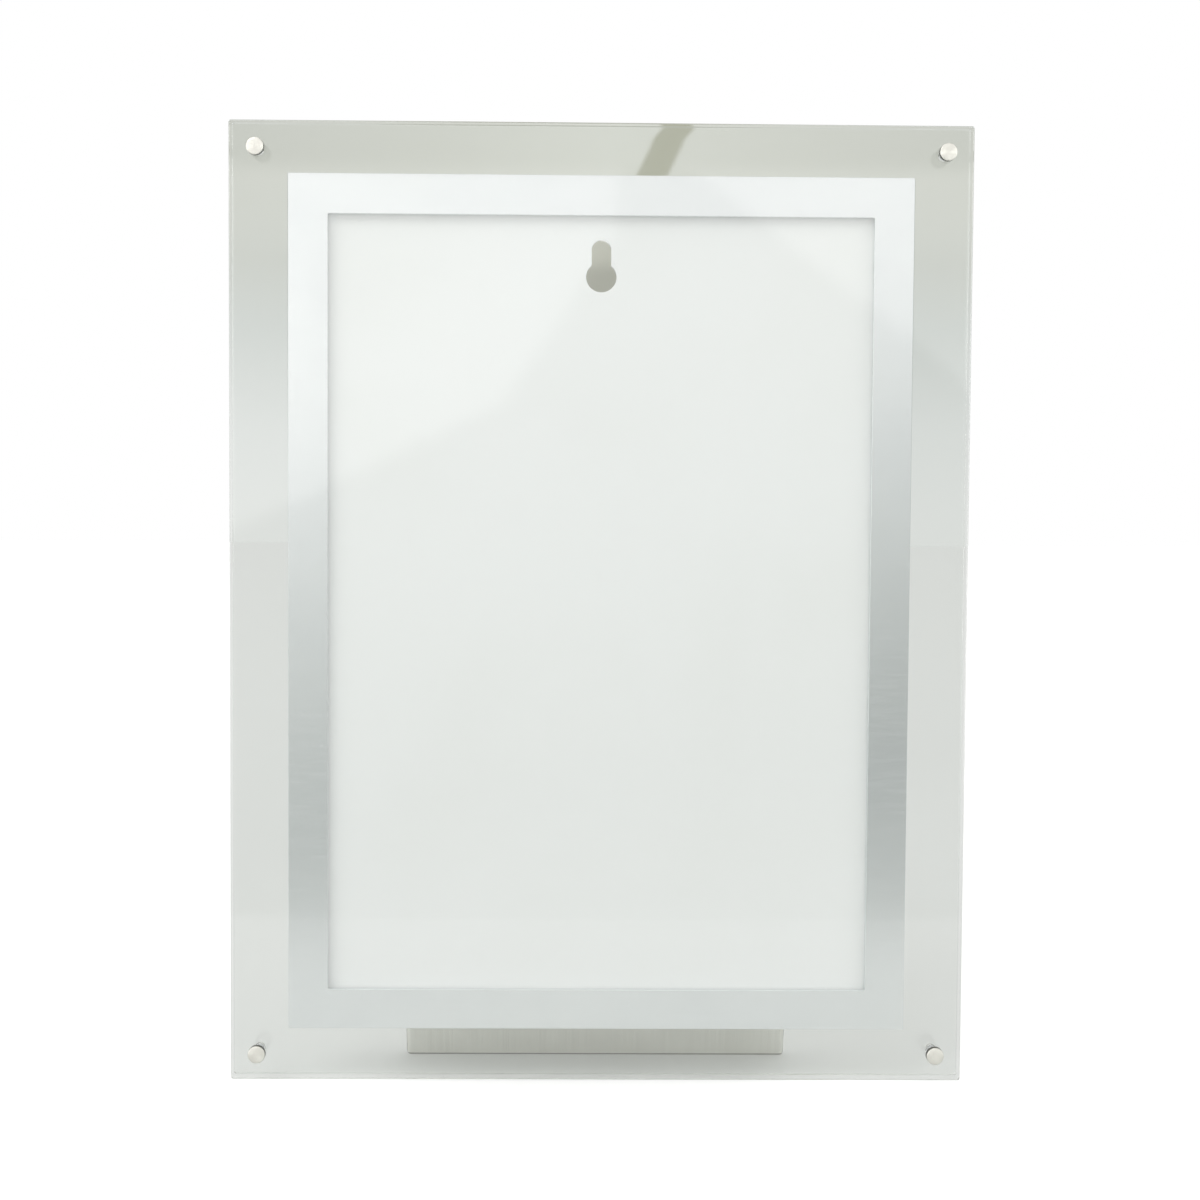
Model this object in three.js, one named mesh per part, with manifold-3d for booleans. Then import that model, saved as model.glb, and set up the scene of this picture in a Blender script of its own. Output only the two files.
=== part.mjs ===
/**
 * Poster frame for an upright A4 sheet.
 *
 * Two clear sheets are clamped together by a stud in each corner. Between them sit a metal rim and a
 * white panel in the rim's rebate. A wide leg is hinged to the back sheet, and the frame leans back on it.
 *
 * Millimetres. +X is right, +Y is towards the back and +Z is up. The pieces are drawn in the plane of the
 * sheets, where X is across, Y is the depth behind the front face and Z is the height along the sheets, and
 * the whole group is then leant back. The origin is under the middle of the standing frame.
 */
import * as THREE from "three";
import { mergeVertices } from "three/addons/utils/BufferGeometryUtils.js";
import Module from "manifold-3d";

const wasm = await Module();
wasm.setup();

// Clear sheets, which reach past the rim by these margins
const SIDE_MARGIN = 21.5;
const END_MARGIN = 19;
const SHEET_THICKNESS = 3;
const SHEET_CORNER_RADIUS = 1;
const SHEET_EDGE_CHAMFER = 0.3;
const LEAN_DEG = 5;

// Rim, and the white panel in its rebate
const WINDOW_WIDTH = 204;
const WINDOW_HEIGHT = 292;
const RIM_STRIP_WIDTH = 15;
const RIM_FACE_THICKNESS = 3;
const RIM_LIP_WIDTH = 1.5;
const RIM_CORNER_RADIUS = 0.6;
const RIM_EDGE_CHAMFER = 0.25;
const PANEL_THICKNESS = 1.5;

// Keyhole through the panel and the back sheet
const KEYHOLE_HEAD_DIAMETER = 11.4;
const KEYHOLE_SLOT_WIDTH = 7.3;
const KEYHOLE_TRAVEL = 10.2;
const KEYHOLE_DROP = 8.6;

// Corner studs: a cap in front, on a headless screw that is tapped into the back sheet
const STUD_INSET = 10;
const CAP_DIAMETER = 6.5;
const CAP_HEIGHT = 2.8;
const CAP_CHAMFER = 0.3;
const CAP_FACE_THICKNESS = 0.9;
const SCREW_DIAMETER = 3;
const SCREW_TIP_CHAMFER = 0.3;
const SOCKET_ACROSS_FLATS = 1.5;
const SOCKET_DEPTH = 2;

// Leg and its hinge
const LEG_WIDTH = 148;
const LEG_OPENING_DEG = 20;
const LEG_RETURN_DEPTH = 5;
const LEG_INNER_BEND_RADIUS = 0.8;
const LEG_FOOT_RADIUS = 1;
const HINGE_HEIGHT = 60;
const HINGE_PLATE_THICKNESS = 1.2;
const PIN_DIAMETER = 2.5;
const PIN_CHAMFER = 0.3;
const KNUCKLE_COUNT = 5;
const HEEL_LENGTH = 7;
const LEAF_HEIGHT = 26;
const LEAF_CORNER_RADIUS = 4;
const LEAF_SCREW_HEIGHT = 16;
const LEAF_SCREW_INSET = 14;
const COUNTERSINK_DIAMETER = 5.8;
const NUT_ACROSS_FLATS = 5.5;
const NUT_HEIGHT = 2.4;
const NUT_CHAMFER = 0.35;
const SCREW_END_LENGTH = 0.6;

// Clearances
const SEAT_GAP = 0.3;
const SCREW_CLEARANCE = 0.3;
const SHEET_HOLE_CLEARANCE = 0.5;
const PIN_CLEARANCE = 0.2;
const KNUCKLE_GAP = 0.5;

// Facets: segments of a full round piece and of a full small hole, and half the segments of an arc
const ROUND_SEGMENTS = 32;
const HOLE_SEGMENTS = 24;
const CORNER_SEGMENTS = 2;
const KEYHOLE_SEGMENTS = 8;
// Points closer than this are one vertex, and cutters run this far past the faces they cut
const WELD_DISTANCE = 1e-4;
const OVERRUN = 1;

// Depths behind the front face of the front sheet
const FRONT_SHEET_BACK = SHEET_THICKNESS;
const RIM_FRONT = FRONT_SHEET_BACK + SEAT_GAP;
const RIM_SHOULDER = RIM_FRONT + RIM_FACE_THICKNESS;
const PANEL_FRONT = RIM_SHOULDER + SEAT_GAP;
const PANEL_BACK = PANEL_FRONT + PANEL_THICKNESS;
const BACK_SHEET_FRONT = PANEL_BACK + SEAT_GAP;
const BACK_SHEET_BACK = BACK_SHEET_FRONT + SHEET_THICKNESS;
const CAP_BACK = -SEAT_GAP;
const CAP_FRONT = CAP_BACK - CAP_HEIGHT;
const CAP_HOLE_BOTTOM = CAP_FRONT + CAP_FACE_THICKNESS;
const COUNTERSINK_DEPTH = (COUNTERSINK_DIAMETER - SCREW_DIAMETER) / 2;

// Outlines of the rim, the panel's rebate and the sheets
const RIM_WIDTH = WINDOW_WIDTH + 2 * RIM_STRIP_WIDTH;
const RIM_HEIGHT = WINDOW_HEIGHT + 2 * RIM_STRIP_WIDTH;
const REBATE_WIDTH = RIM_WIDTH - 2 * RIM_LIP_WIDTH;
const REBATE_HEIGHT = RIM_HEIGHT - 2 * RIM_LIP_WIDTH;
const SHEET_WIDTH = RIM_WIDTH + 2 * SIDE_MARGIN;
const SHEET_HEIGHT = RIM_HEIGHT + 2 * END_MARGIN;
const MIDDLE_HEIGHT = SHEET_HEIGHT / 2;

// Hinge
const BORE_RADIUS = PIN_DIAMETER / 2 + PIN_CLEARANCE;
const KNUCKLE_RADIUS = BORE_RADIUS + HINGE_PLATE_THICKNESS;
const LEAF_FRONT = BACK_SHEET_BACK + SEAT_GAP;
const LEAF_BACK = LEAF_FRONT + HINGE_PLATE_THICKNESS;
const PIN_DEPTH = LEAF_FRONT + KNUCKLE_RADIUS;
const KNUCKLE_PITCH = (LEG_WIDTH + KNUCKLE_GAP) / KNUCKLE_COUNT;
const KNUCKLE_LENGTH = KNUCKLE_PITCH - KNUCKLE_GAP;

const LEAN = THREE.MathUtils.degToRad(LEAN_DEG);
const LEG_OPENING = THREE.MathUtils.degToRad(LEG_OPENING_DEG);
// How far the sheets' lowest edge lies below the bottom of the front face when they lean back
const STANDING_DROP = (BACK_SHEET_BACK - SHEET_EDGE_CHAMFER) * Math.sin(LEAN);

const CLEAR_ACRYLIC = { color: "#dfe4e1", roughness: 0.05, metalness: 0, transparent: true, opacity: 0.35 };
const SATIN_ALUMINIUM = { color: "#c3cbcd", roughness: 0.35, metalness: 1 };
const WHITE_PLASTIC = { color: "#f2f4f2", roughness: 0.45, metalness: 0 };
const SATIN_NICKEL = { color: "#d6d3cb", roughness: 0.28, metalness: 1 };
const BRUSHED_STEEL = { color: "#b4b4aa", roughness: 0.4, metalness: 1 };
const ZINC_STEEL = { color: "#b9bcc0", roughness: 0.35, metalness: 1 };

/** Makes a closed solid of a geometry, ready to be joined or cut. */
function toSolid(geometry) {
  geometry.deleteAttribute("normal");
  geometry.deleteAttribute("uv");
  const welded = mergeVertices(geometry, WELD_DISTANCE);
  const mesh = new wasm.Mesh({
    numProp: 3,
    vertProperties: new Float32Array(welded.attributes.position.array),
    triVerts: new Uint32Array(welded.index.array),
  });
  return new wasm.Manifold(mesh);
}

/** Turns a solid back into a geometry. */
function toGeometry(solid) {
  const { vertProperties, triVerts } = solid.getMesh();
  const geometry = new THREE.BufferGeometry();
  geometry.setAttribute("position", new THREE.BufferAttribute(vertProperties, 3));
  geometry.setIndex(new THREE.BufferAttribute(triVerts, 1));
  geometry.computeVertexNormals();
  return geometry;
}

/** Joins the solids of a list. */
function joinAll(solids) {
  return solids.reduce((whole, next) => whole.add(next));
}

/** Cuts each solid of a list out of a base. */
function cutAll(base, cutters) {
  return cutters.reduce((rest, cutter) => rest.subtract(cutter), base);
}

/** A named mesh at a place in the plane of the sheets. */
function piece(name, geometry, finish, x = 0, y = 0, z = 0) {
  const mesh = new THREE.Mesh(geometry, new THREE.MeshStandardMaterial(finish));
  mesh.name = name;
  mesh.position.set(x, y, z);
  return mesh;
}

/** A rectangle with round corners, centred on (x, z). */
function rectangle(width, height, radius, x = 0, z = 0) {
  const right = x + width / 2;
  const left = x - width / 2;
  const top = z + height / 2;
  const bottom = z - height / 2;
  const shape = new THREE.Shape();
  shape.moveTo(left + radius, bottom);
  shape.lineTo(right - radius, bottom);
  shape.absarc(right - radius, bottom + radius, radius, -Math.PI / 2, 0, false);
  shape.lineTo(right, top - radius);
  shape.absarc(right - radius, top - radius, radius, 0, Math.PI / 2, false);
  shape.lineTo(left + radius, top);
  shape.absarc(left + radius, top - radius, radius, Math.PI / 2, Math.PI, false);
  shape.lineTo(left, bottom + radius);
  shape.absarc(left + radius, bottom + radius, radius, Math.PI, 1.5 * Math.PI, false);
  return shape;
}

/** The keyhole's outline: a round head with a narrower slot going up from it. */
function keyholeOutline() {
  const headRadius = KEYHOLE_HEAD_DIAMETER / 2;
  const slotRadius = KEYHOLE_SLOT_WIDTH / 2;
  const windowTop = MIDDLE_HEIGHT + WINDOW_HEIGHT / 2;
  const slotCentre = windowTop - KEYHOLE_DROP - slotRadius;
  const headCentre = slotCentre - KEYHOLE_TRAVEL;
  const neckAngle = Math.asin(slotRadius / headRadius);
  const outline = new THREE.Path();
  outline.absarc(0, headCentre, headRadius, Math.PI / 2 - neckAngle, Math.PI / 2 + neckAngle, true);
  outline.absarc(0, slotCentre, slotRadius, Math.PI, 0, true);
  outline.closePath();
  return outline;
}

/** An outline drawn in the plane of the sheets, given a thickness from a depth backwards. */
function slab(shape, front, thickness, chamfer = 0, segments = CORNER_SEGMENTS) {
  const geometry = new THREE.ExtrudeGeometry(shape, {
    depth: thickness - 2 * chamfer,
    bevelEnabled: chamfer > 0,
    bevelThickness: chamfer,
    bevelSize: chamfer,
    bevelOffset: -chamfer,
    bevelSegments: 1,
    curveSegments: segments,
  });
  geometry.rotateX(Math.PI / 2);
  geometry.translate(0, front + thickness - chamfer, 0);
  return geometry;
}

/** A box between two depths and two heights, centred on x. */
function block(width, front, back, bottom, top, x = 0) {
  const geometry = new THREE.BoxGeometry(width, back - front, top - bottom);
  geometry.translate(x, (front + back) / 2, (bottom + top) / 2);
  return geometry;
}

/** A solid rod along the depth, between two depths. */
function rod(radius, front, back, segments, x = 0, z = 0) {
  const geometry = new THREE.CylinderGeometry(radius, radius, back - front, segments);
  geometry.translate(x, (front + back) / 2, z);
  return geometry;
}

/** A solid rod across the frame, along the hinge's axis. */
function crossRod(radius, length, x = 0) {
  const geometry = new THREE.CylinderGeometry(radius, radius, length, ROUND_SEGMENTS);
  geometry.rotateZ(Math.PI / 2);
  geometry.translate(x, 0, 0);
  return geometry;
}

/** A turned piece whose profile is a list of [radius, depth] points. */
function turned(profile, segments = ROUND_SEGMENTS) {
  const points = profile.map(([radius, depth]) => new THREE.Vector2(radius, depth));
  return new THREE.LatheGeometry(points, segments);
}

/** The four corners that have a stud, as seen from the front. */
function studPlaces() {
  const across = SHEET_WIDTH / 2 - STUD_INSET;
  const low = STUD_INSET;
  const high = SHEET_HEIGHT - STUD_INSET;
  return [
    { corner: "top_left", x: -across, z: high },
    { corner: "top_right", x: across, z: high },
    { corner: "bottom_left", x: -across, z: low },
    { corner: "bottom_right", x: across, z: low },
  ];
}

/** The three screws that hold the hinge's leaf. */
function leafScrewPlaces() {
  const across = LEG_WIDTH / 2 - LEAF_SCREW_INSET;
  const z = HINGE_HEIGHT + LEAF_SCREW_HEIGHT;
  return [
    { side: "left", x: -across, z },
    { side: "middle", x: 0, z },
    { side: "right", x: across, z },
  ];
}

/** The middle of each knuckle along the hinge; every second one belongs to the leg. */
function knucklePlaces(onLeg) {
  const first = -(KNUCKLE_COUNT - 1) * KNUCKLE_PITCH / 2;
  const all = Array.from({ length: KNUCKLE_COUNT }, (_, index) => first + index * KNUCKLE_PITCH);
  return all.filter((_, index) => (index % 2 === 1) === onLeg);
}

/** The outline that both sheets share. */
function sheetOutline() {
  return rectangle(SHEET_WIDTH, SHEET_HEIGHT, SHEET_CORNER_RADIUS, 0, MIDDLE_HEIGHT);
}

/** Cutters for the studs' holes through a sheet. */
function studHoles(front, back, clearance) {
  const radius = SCREW_DIAMETER / 2 + clearance;
  const hole = ({ x, z }) => rod(radius, front - OVERRUN, back + OVERRUN, HOLE_SEGMENTS, x, z);
  return studPlaces().map((place) => toSolid(hole(place)));
}

/** The sheet in front of the poster. */
function frontSheet() {
  const plate = toSolid(slab(sheetOutline(), 0, SHEET_THICKNESS, SHEET_EDGE_CHAMFER));
  const holes = studHoles(0, FRONT_SHEET_BACK, SHEET_HOLE_CLEARANCE);
  return piece("front_sheet", toGeometry(cutAll(plate, holes)), CLEAR_ACRYLIC);
}

/** A cutter for one countersunk hole, which stays clear of the screw all round. */
function countersunkHole({ x, z }) {
  const holeRadius = SCREW_DIAMETER / 2 + SCREW_CLEARANCE;
  const mouthRadius = COUNTERSINK_DIAMETER / 2 + SCREW_CLEARANCE;
  const mouthBottom = BACK_SHEET_FRONT + SEAT_GAP;
  const geometry = turned([
    [0, BACK_SHEET_FRONT - OVERRUN],
    [mouthRadius, BACK_SHEET_FRONT - OVERRUN],
    [mouthRadius, mouthBottom],
    [holeRadius, mouthBottom + COUNTERSINK_DEPTH],
    [holeRadius, BACK_SHEET_BACK + OVERRUN],
    [0, BACK_SHEET_BACK + OVERRUN],
  ], HOLE_SEGMENTS);
  geometry.translate(x, 0, z);
  return toSolid(geometry);
}

/** The sheet that carries the hinge and has the keyhole. */
function backSheet() {
  const outline = sheetOutline();
  outline.holes.push(keyholeOutline());
  const blank = slab(outline, BACK_SHEET_FRONT, SHEET_THICKNESS, SHEET_EDGE_CHAMFER, KEYHOLE_SEGMENTS);
  const holes = studHoles(BACK_SHEET_FRONT, BACK_SHEET_BACK, SCREW_CLEARANCE);
  const countersinks = leafScrewPlaces().map(countersunkHole);
  const plate = cutAll(toSolid(blank), [...holes, ...countersinks]);
  return piece("back_sheet", toGeometry(plate), CLEAR_ACRYLIC);
}

/** The rim: flat strips round the window, with a lip behind them that holds the panel. */
function rimFrame() {
  const outline = rectangle(RIM_WIDTH, RIM_HEIGHT, RIM_CORNER_RADIUS, 0, MIDDLE_HEIGHT);
  outline.holes.push(rectangle(WINDOW_WIDTH, WINDOW_HEIGHT, RIM_CORNER_RADIUS, 0, MIDDLE_HEIGHT));
  const depth = PANEL_BACK - RIM_FRONT;
  const strips = toSolid(slab(outline, RIM_FRONT, depth, RIM_EDGE_CHAMFER));
  const rebate = block(
    REBATE_WIDTH,
    RIM_SHOULDER,
    PANEL_BACK + OVERRUN,
    MIDDLE_HEIGHT - REBATE_HEIGHT / 2,
    MIDDLE_HEIGHT + REBATE_HEIGHT / 2,
  );
  return piece("rim_frame", toGeometry(strips.subtract(toSolid(rebate))), SATIN_ALUMINIUM);
}

/** The white panel, loose in the rim's rebate. */
function backPanel() {
  const width = REBATE_WIDTH - 2 * SEAT_GAP;
  const height = REBATE_HEIGHT - 2 * SEAT_GAP;
  const outline = rectangle(width, height, RIM_CORNER_RADIUS, 0, MIDDLE_HEIGHT);
  outline.holes.push(keyholeOutline());
  const geometry = slab(outline, PANEL_FRONT, PANEL_THICKNESS, 0, KEYHOLE_SEGMENTS);
  return piece("back_panel", geometry, WHITE_PLASTIC);
}

/** A cap in front of the sheets, with a blind hole for its screw. */
function studCap({ corner, x, z }) {
  const radius = CAP_DIAMETER / 2;
  const boreRadius = SCREW_DIAMETER / 2 + SCREW_CLEARANCE;
  const geometry = turned([
    [0, CAP_FRONT],
    [radius - CAP_CHAMFER, CAP_FRONT],
    [radius, CAP_FRONT + CAP_CHAMFER],
    [radius, CAP_BACK],
    [boreRadius, CAP_BACK],
    [boreRadius, CAP_HOLE_BOTTOM],
    [0, CAP_HOLE_BOTTOM],
  ]);
  return piece(`stud_cap_${corner}`, geometry, SATIN_NICKEL, x, 0, z);
}

/** The corner of a hexagon with the given width across its flats. */
function hexagonRadius(acrossFlats) {
  return acrossFlats / 2 / Math.cos(Math.PI / 6);
}

/** A headless screw from the cap to the rear of the back sheet, where it has a hexagon socket. */
function studScrew({ corner, x, z }) {
  const tip = CAP_HOLE_BOTTOM + SEAT_GAP;
  const radius = SCREW_DIAMETER / 2;
  const body = toSolid(turned([
    [0, tip],
    [radius - SCREW_TIP_CHAMFER, tip],
    [radius, tip + SCREW_TIP_CHAMFER],
    [radius, BACK_SHEET_BACK],
    [0, BACK_SHEET_BACK],
  ], HOLE_SEGMENTS));
  const socketRadius = hexagonRadius(SOCKET_ACROSS_FLATS);
  const socket = rod(socketRadius, BACK_SHEET_BACK - SOCKET_DEPTH, BACK_SHEET_BACK + OVERRUN, 6);
  return piece(`stud_screw_${corner}`, toGeometry(body.subtract(toSolid(socket))), ZINC_STEEL, x, 0, z);
}

/** Cutters that clear the other half's knuckles from an edge of a hinge plate. */
function knuckleNotches(onLeg, bottom, top) {
  const width = KNUCKLE_LENGTH + 2 * KNUCKLE_GAP;
  const reach = Math.max(KNUCKLE_RADIUS, LEG_RETURN_DEPTH) + OVERRUN;
  return knucklePlaces(onLeg).map((x) => toSolid(block(width, -reach, reach, bottom, top, x)));
}

/** The knuckles of one half of the hinge, round its axis. */
function knuckles(onLeg) {
  return knucklePlaces(onLeg).map((x) => toSolid(crossRod(KNUCKLE_RADIUS, KNUCKLE_LENGTH, x)));
}

/** The hole for the pin, right through the hinge. */
function pinBore() {
  return toSolid(crossRod(BORE_RADIUS, LEG_WIDTH + 2 * OVERRUN));
}

/** The leaf on the back sheet, drawn round the hinge's axis. */
function hingeLeaf() {
  const outline = rectangle(LEG_WIDTH, 2 * LEAF_HEIGHT, LEAF_CORNER_RADIUS);
  const plate = toSolid(slab(outline, -KNUCKLE_RADIUS, HINGE_PLATE_THICKNESS));
  const lowerHalf = toSolid(block(
    LEG_WIDTH + 2 * OVERRUN,
    -KNUCKLE_RADIUS - OVERRUN,
    KNUCKLE_RADIUS,
    -LEAF_HEIGHT - OVERRUN,
    0,
  ));
  const notches = knuckleNotches(true, -KNUCKLE_RADIUS, KNUCKLE_RADIUS + KNUCKLE_GAP);
  const holes = leafScrewPlaces().map(({ x }) => toSolid(rod(
    SCREW_DIAMETER / 2 + SCREW_CLEARANCE,
    -KNUCKLE_RADIUS - OVERRUN,
    KNUCKLE_RADIUS,
    HOLE_SEGMENTS,
    x,
    LEAF_SCREW_HEIGHT,
  )));
  const leaf = joinAll([cutAll(plate, [lowerHalf, ...notches, ...holes]), ...knuckles(false)]);
  const geometry = toGeometry(leaf.subtract(pinBore()));
  return piece("hinge_leaf", geometry, BRUSHED_STEEL, 0, PIN_DEPTH, HINGE_HEIGHT);
}

/** The pin, which the leaf's knuckles hold. */
function hingePin() {
  const radius = PIN_DIAMETER / 2;
  const half = LEG_WIDTH / 2;
  const geometry = turned([
    [0, -half],
    [radius - PIN_CHAMFER, -half],
    [radius, -half + PIN_CHAMFER],
    [radius, half - PIN_CHAMFER],
    [radius - PIN_CHAMFER, half],
    [0, half],
  ], HOLE_SEGMENTS);
  geometry.rotateZ(Math.PI / 2);
  return piece("hinge_pin", geometry, ZINC_STEEL, 0, PIN_DEPTH, HINGE_HEIGHT);
}

/** A countersunk screw from inside, through the back sheet and the leaf. */
function hingeScrew({ side, x, z }) {
  const headFront = BACK_SHEET_FRONT + SEAT_GAP;
  const end = LEAF_BACK + SEAT_GAP + NUT_HEIGHT + SCREW_END_LENGTH;
  const geometry = turned([
    [0, headFront],
    [COUNTERSINK_DIAMETER / 2, headFront],
    [SCREW_DIAMETER / 2, headFront + COUNTERSINK_DEPTH],
    [SCREW_DIAMETER / 2, end],
    [0, end],
  ], HOLE_SEGMENTS);
  return piece(`hinge_screw_${side}`, geometry, ZINC_STEEL, x, 0, z);
}

/** A nut behind the leaf, with its outer corners turned down. */
function hingeNut({ side, x, z }) {
  const front = LEAF_BACK + SEAT_GAP;
  const back = front + NUT_HEIGHT;
  const corner = hexagonRadius(NUT_ACROSS_FLATS);
  const hexagon = toSolid(rod(corner, front, back, 6));
  const turnedDown = toSolid(turned([
    [0, front - OVERRUN],
    [corner + OVERRUN, front - OVERRUN],
    [corner + OVERRUN, back - NUT_CHAMFER - OVERRUN],
    [corner - NUT_CHAMFER, back],
    [0, back],
  ]));
  const boreRadius = SCREW_DIAMETER / 2 + SCREW_CLEARANCE;
  const bore = toSolid(rod(boreRadius, front - OVERRUN, back + OVERRUN, HOLE_SEGMENTS));
  const geometry = toGeometry(hexagon.intersect(turnedDown).subtract(bore));
  return piece(`hinge_nut_${side}`, geometry, ZINC_STEEL, x, 0, z);
}

/** The leg's length below the hinge's axis, so that its front edge meets the table with the sheets. */
function legLength() {
  const height = (HINGE_HEIGHT - KNUCKLE_RADIUS * Math.sin(LEG_OPENING)) * Math.cos(LEAN);
  const drop = (PIN_DEPTH - KNUCKLE_RADIUS * Math.cos(LEG_OPENING)) * Math.sin(LEAN);
  return (height - drop + STANDING_DROP) / Math.cos(LEG_OPENING - LEAN);
}

/** The leg's section: a flat plate with a return bent backwards along each side. */
function legSection() {
  const half = LEG_WIDTH / 2;
  const front = -KNUCKLE_RADIUS;
  const back = front + LEG_RETURN_DEPTH;
  const outerRadius = LEG_INNER_BEND_RADIUS + HINGE_PLATE_THICKNESS;
  const bend = front + outerRadius;
  const centre = half - outerRadius;
  const inside = half - HINGE_PLATE_THICKNESS;
  const shape = new THREE.Shape();
  shape.moveTo(-half, back);
  shape.lineTo(-half, bend);
  shape.absarc(-centre, bend, outerRadius, Math.PI, 1.5 * Math.PI, false);
  shape.lineTo(centre, front);
  shape.absarc(centre, bend, outerRadius, -Math.PI / 2, 0, false);
  shape.lineTo(half, back);
  shape.lineTo(inside, back);
  shape.lineTo(inside, bend);
  shape.absarc(centre, bend, LEG_INNER_BEND_RADIUS, 0, -Math.PI / 2, true);
  shape.lineTo(-centre, front + HINGE_PLATE_THICKNESS);
  shape.absarc(-centre, bend, LEG_INNER_BEND_RADIUS, 1.5 * Math.PI, Math.PI, true);
  shape.lineTo(-inside, back);
  return shape;
}

/** The heels that stop the leg against the leaf, drawn as they lie when the leg is open. */
function legHeels() {
  const front = LEAF_BACK + SEAT_GAP - PIN_DEPTH;
  const back = front + HINGE_PLATE_THICKNESS;
  const bottom = (BORE_RADIUS + KNUCKLE_RADIUS) / 2;
  return knucklePlaces(true).map((x) => {
    const geometry = block(KNUCKLE_LENGTH, front, back, bottom, HEEL_LENGTH, x);
    geometry.rotateX(-LEG_OPENING);
    return toSolid(geometry);
  });
}

/** The leg, drawn folded flat round the hinge's axis, and then opened. */
function leg() {
  const length = legLength();
  const channel = new THREE.ExtrudeGeometry(legSection(), {
    depth: length,
    bevelEnabled: false,
    curveSegments: CORNER_SEGMENTS,
  });
  channel.translate(0, 0, -length);
  const outline = rectangle(LEG_WIDTH, 2 * length, LEG_FOOT_RADIUS);
  const rounded = slab(outline, -KNUCKLE_RADIUS - OVERRUN, LEG_RETURN_DEPTH + 2 * OVERRUN);
  const notches = knuckleNotches(false, -KNUCKLE_RADIUS - KNUCKLE_GAP, OVERRUN);
  const plate = cutAll(toSolid(channel).intersect(toSolid(rounded)), notches);
  const whole = joinAll([plate, ...knuckles(true), ...legHeels()]).subtract(pinBore());
  const mesh = piece("leg", toGeometry(whole), BRUSHED_STEEL, 0, PIN_DEPTH, HINGE_HEIGHT);
  mesh.rotation.x = LEG_OPENING;
  return mesh;
}

/** All pieces in the plane of the sheets. */
function uprightFrame() {
  const group = new THREE.Group();
  group.add(frontSheet(), rimFrame(), backPanel(), backSheet());
  for (const make of [studCap, studScrew]) {
    group.add(...studPlaces().map(make));
  }
  group.add(hingeLeaf(), hingePin(), leg());
  for (const make of [hingeScrew, hingeNut]) {
    group.add(...leafScrewPlaces().map(make));
  }
  return group;
}

/** Leans the frame back, and moves it over the origin so that it stands on the ground. */
function standing(frame) {
  frame.rotation.x = -LEAN;
  const stand = new THREE.Group();
  stand.add(frame);
  stand.updateMatrixWorld(true);
  const box = new THREE.Box3().setFromObject(stand, true);
  const middle = box.getCenter(new THREE.Vector3());
  stand.position.set(-middle.x, -middle.y, -box.min.z);
  return stand;
}

export default standing(uprightFrame());
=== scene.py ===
"""A poster frame: two clear sheets, clamped by studs round a metal rim and a white panel, on a folding leg.

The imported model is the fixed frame. Around it this script makes finer meshes of the same pieces, gives each
its finish, and sets up the studio and the camera. Lengths are in metres. Pieces are drawn upright, with x
across, y backwards from the front face and z up from the sheets' lower edge, and are then leant back.
"""
import sys
import logging
import math
from collections.abc import Callable, Sequence
from dataclasses import dataclass
from enum import Enum
from typing import Any

import bpy
from mathutils import Matrix, Vector
from mathutils.geometry import tessellate_polygon


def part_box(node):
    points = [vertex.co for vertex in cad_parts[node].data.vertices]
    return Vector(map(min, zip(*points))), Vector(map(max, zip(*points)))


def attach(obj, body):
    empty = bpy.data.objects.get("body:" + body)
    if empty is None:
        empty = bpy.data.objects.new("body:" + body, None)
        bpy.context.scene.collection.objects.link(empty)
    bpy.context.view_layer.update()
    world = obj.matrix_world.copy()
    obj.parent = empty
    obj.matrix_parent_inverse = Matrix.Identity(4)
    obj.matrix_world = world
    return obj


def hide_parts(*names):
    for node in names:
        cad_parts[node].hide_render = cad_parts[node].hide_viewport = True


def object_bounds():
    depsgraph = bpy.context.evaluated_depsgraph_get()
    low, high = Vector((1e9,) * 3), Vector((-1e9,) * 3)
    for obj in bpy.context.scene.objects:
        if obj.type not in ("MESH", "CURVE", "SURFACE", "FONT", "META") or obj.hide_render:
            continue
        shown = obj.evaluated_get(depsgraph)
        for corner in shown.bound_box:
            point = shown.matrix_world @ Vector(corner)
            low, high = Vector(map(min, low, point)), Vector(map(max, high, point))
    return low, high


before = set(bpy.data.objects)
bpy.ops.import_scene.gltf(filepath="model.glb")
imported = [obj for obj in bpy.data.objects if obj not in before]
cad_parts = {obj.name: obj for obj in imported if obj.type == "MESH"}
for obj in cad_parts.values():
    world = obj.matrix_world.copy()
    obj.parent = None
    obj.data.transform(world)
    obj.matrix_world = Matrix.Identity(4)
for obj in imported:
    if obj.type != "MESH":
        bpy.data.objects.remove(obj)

CAD_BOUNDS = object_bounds()
MM = 0.001
IMAGE_SIZE = 1200
QUARTER = math.pi / 2
FORWARD = Vector((0.0, -1.0, 0.0))
BACKWARD = Vector((0.0, 1.0, 0.0))
UPWARD = Vector((0.0, 0.0, 1.0))
DOWNWARD = Vector((0.0, 0.0, -1.0))
SHARP_ANGLE = math.radians(28.0)
HEXAGON_RATIO = math.cos(math.pi / 6)
ROUNDING = [QUARTER * step / 4 for step in range(5)]
LOG = logging.getLogger("poster_frame")

Colour = tuple[float, float, float]
Points = list[Vector]
WHITE: Colour = (1.0, 1.0, 1.0)


class Body(Enum):
    """The two bodies that move apart at the hinge."""

    FRAME = "frame"
    LEG = "leg"


class Slot(Enum):
    """The material slots."""

    ACRYLIC = "clear_acrylic"
    ALUMINIUM = "satin_aluminium"
    PLASTIC = "white_plastic"
    NICKEL = "satin_nickel"
    STEEL = "brushed_steel"
    ZINC = "zinc_steel"


class Corner(Enum):
    """The sheets' corners, as signs of x and z from the middle, as seen from the front."""

    TOP_LEFT = (-1, 1)
    TOP_RIGHT = (1, 1)
    BOTTOM_LEFT = (-1, -1)
    BOTTOM_RIGHT = (1, -1)


class Side(Enum):
    """The three screws of the hinge, as signs of x."""

    LEFT = -1
    MIDDLE = 0
    RIGHT = 1


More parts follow.
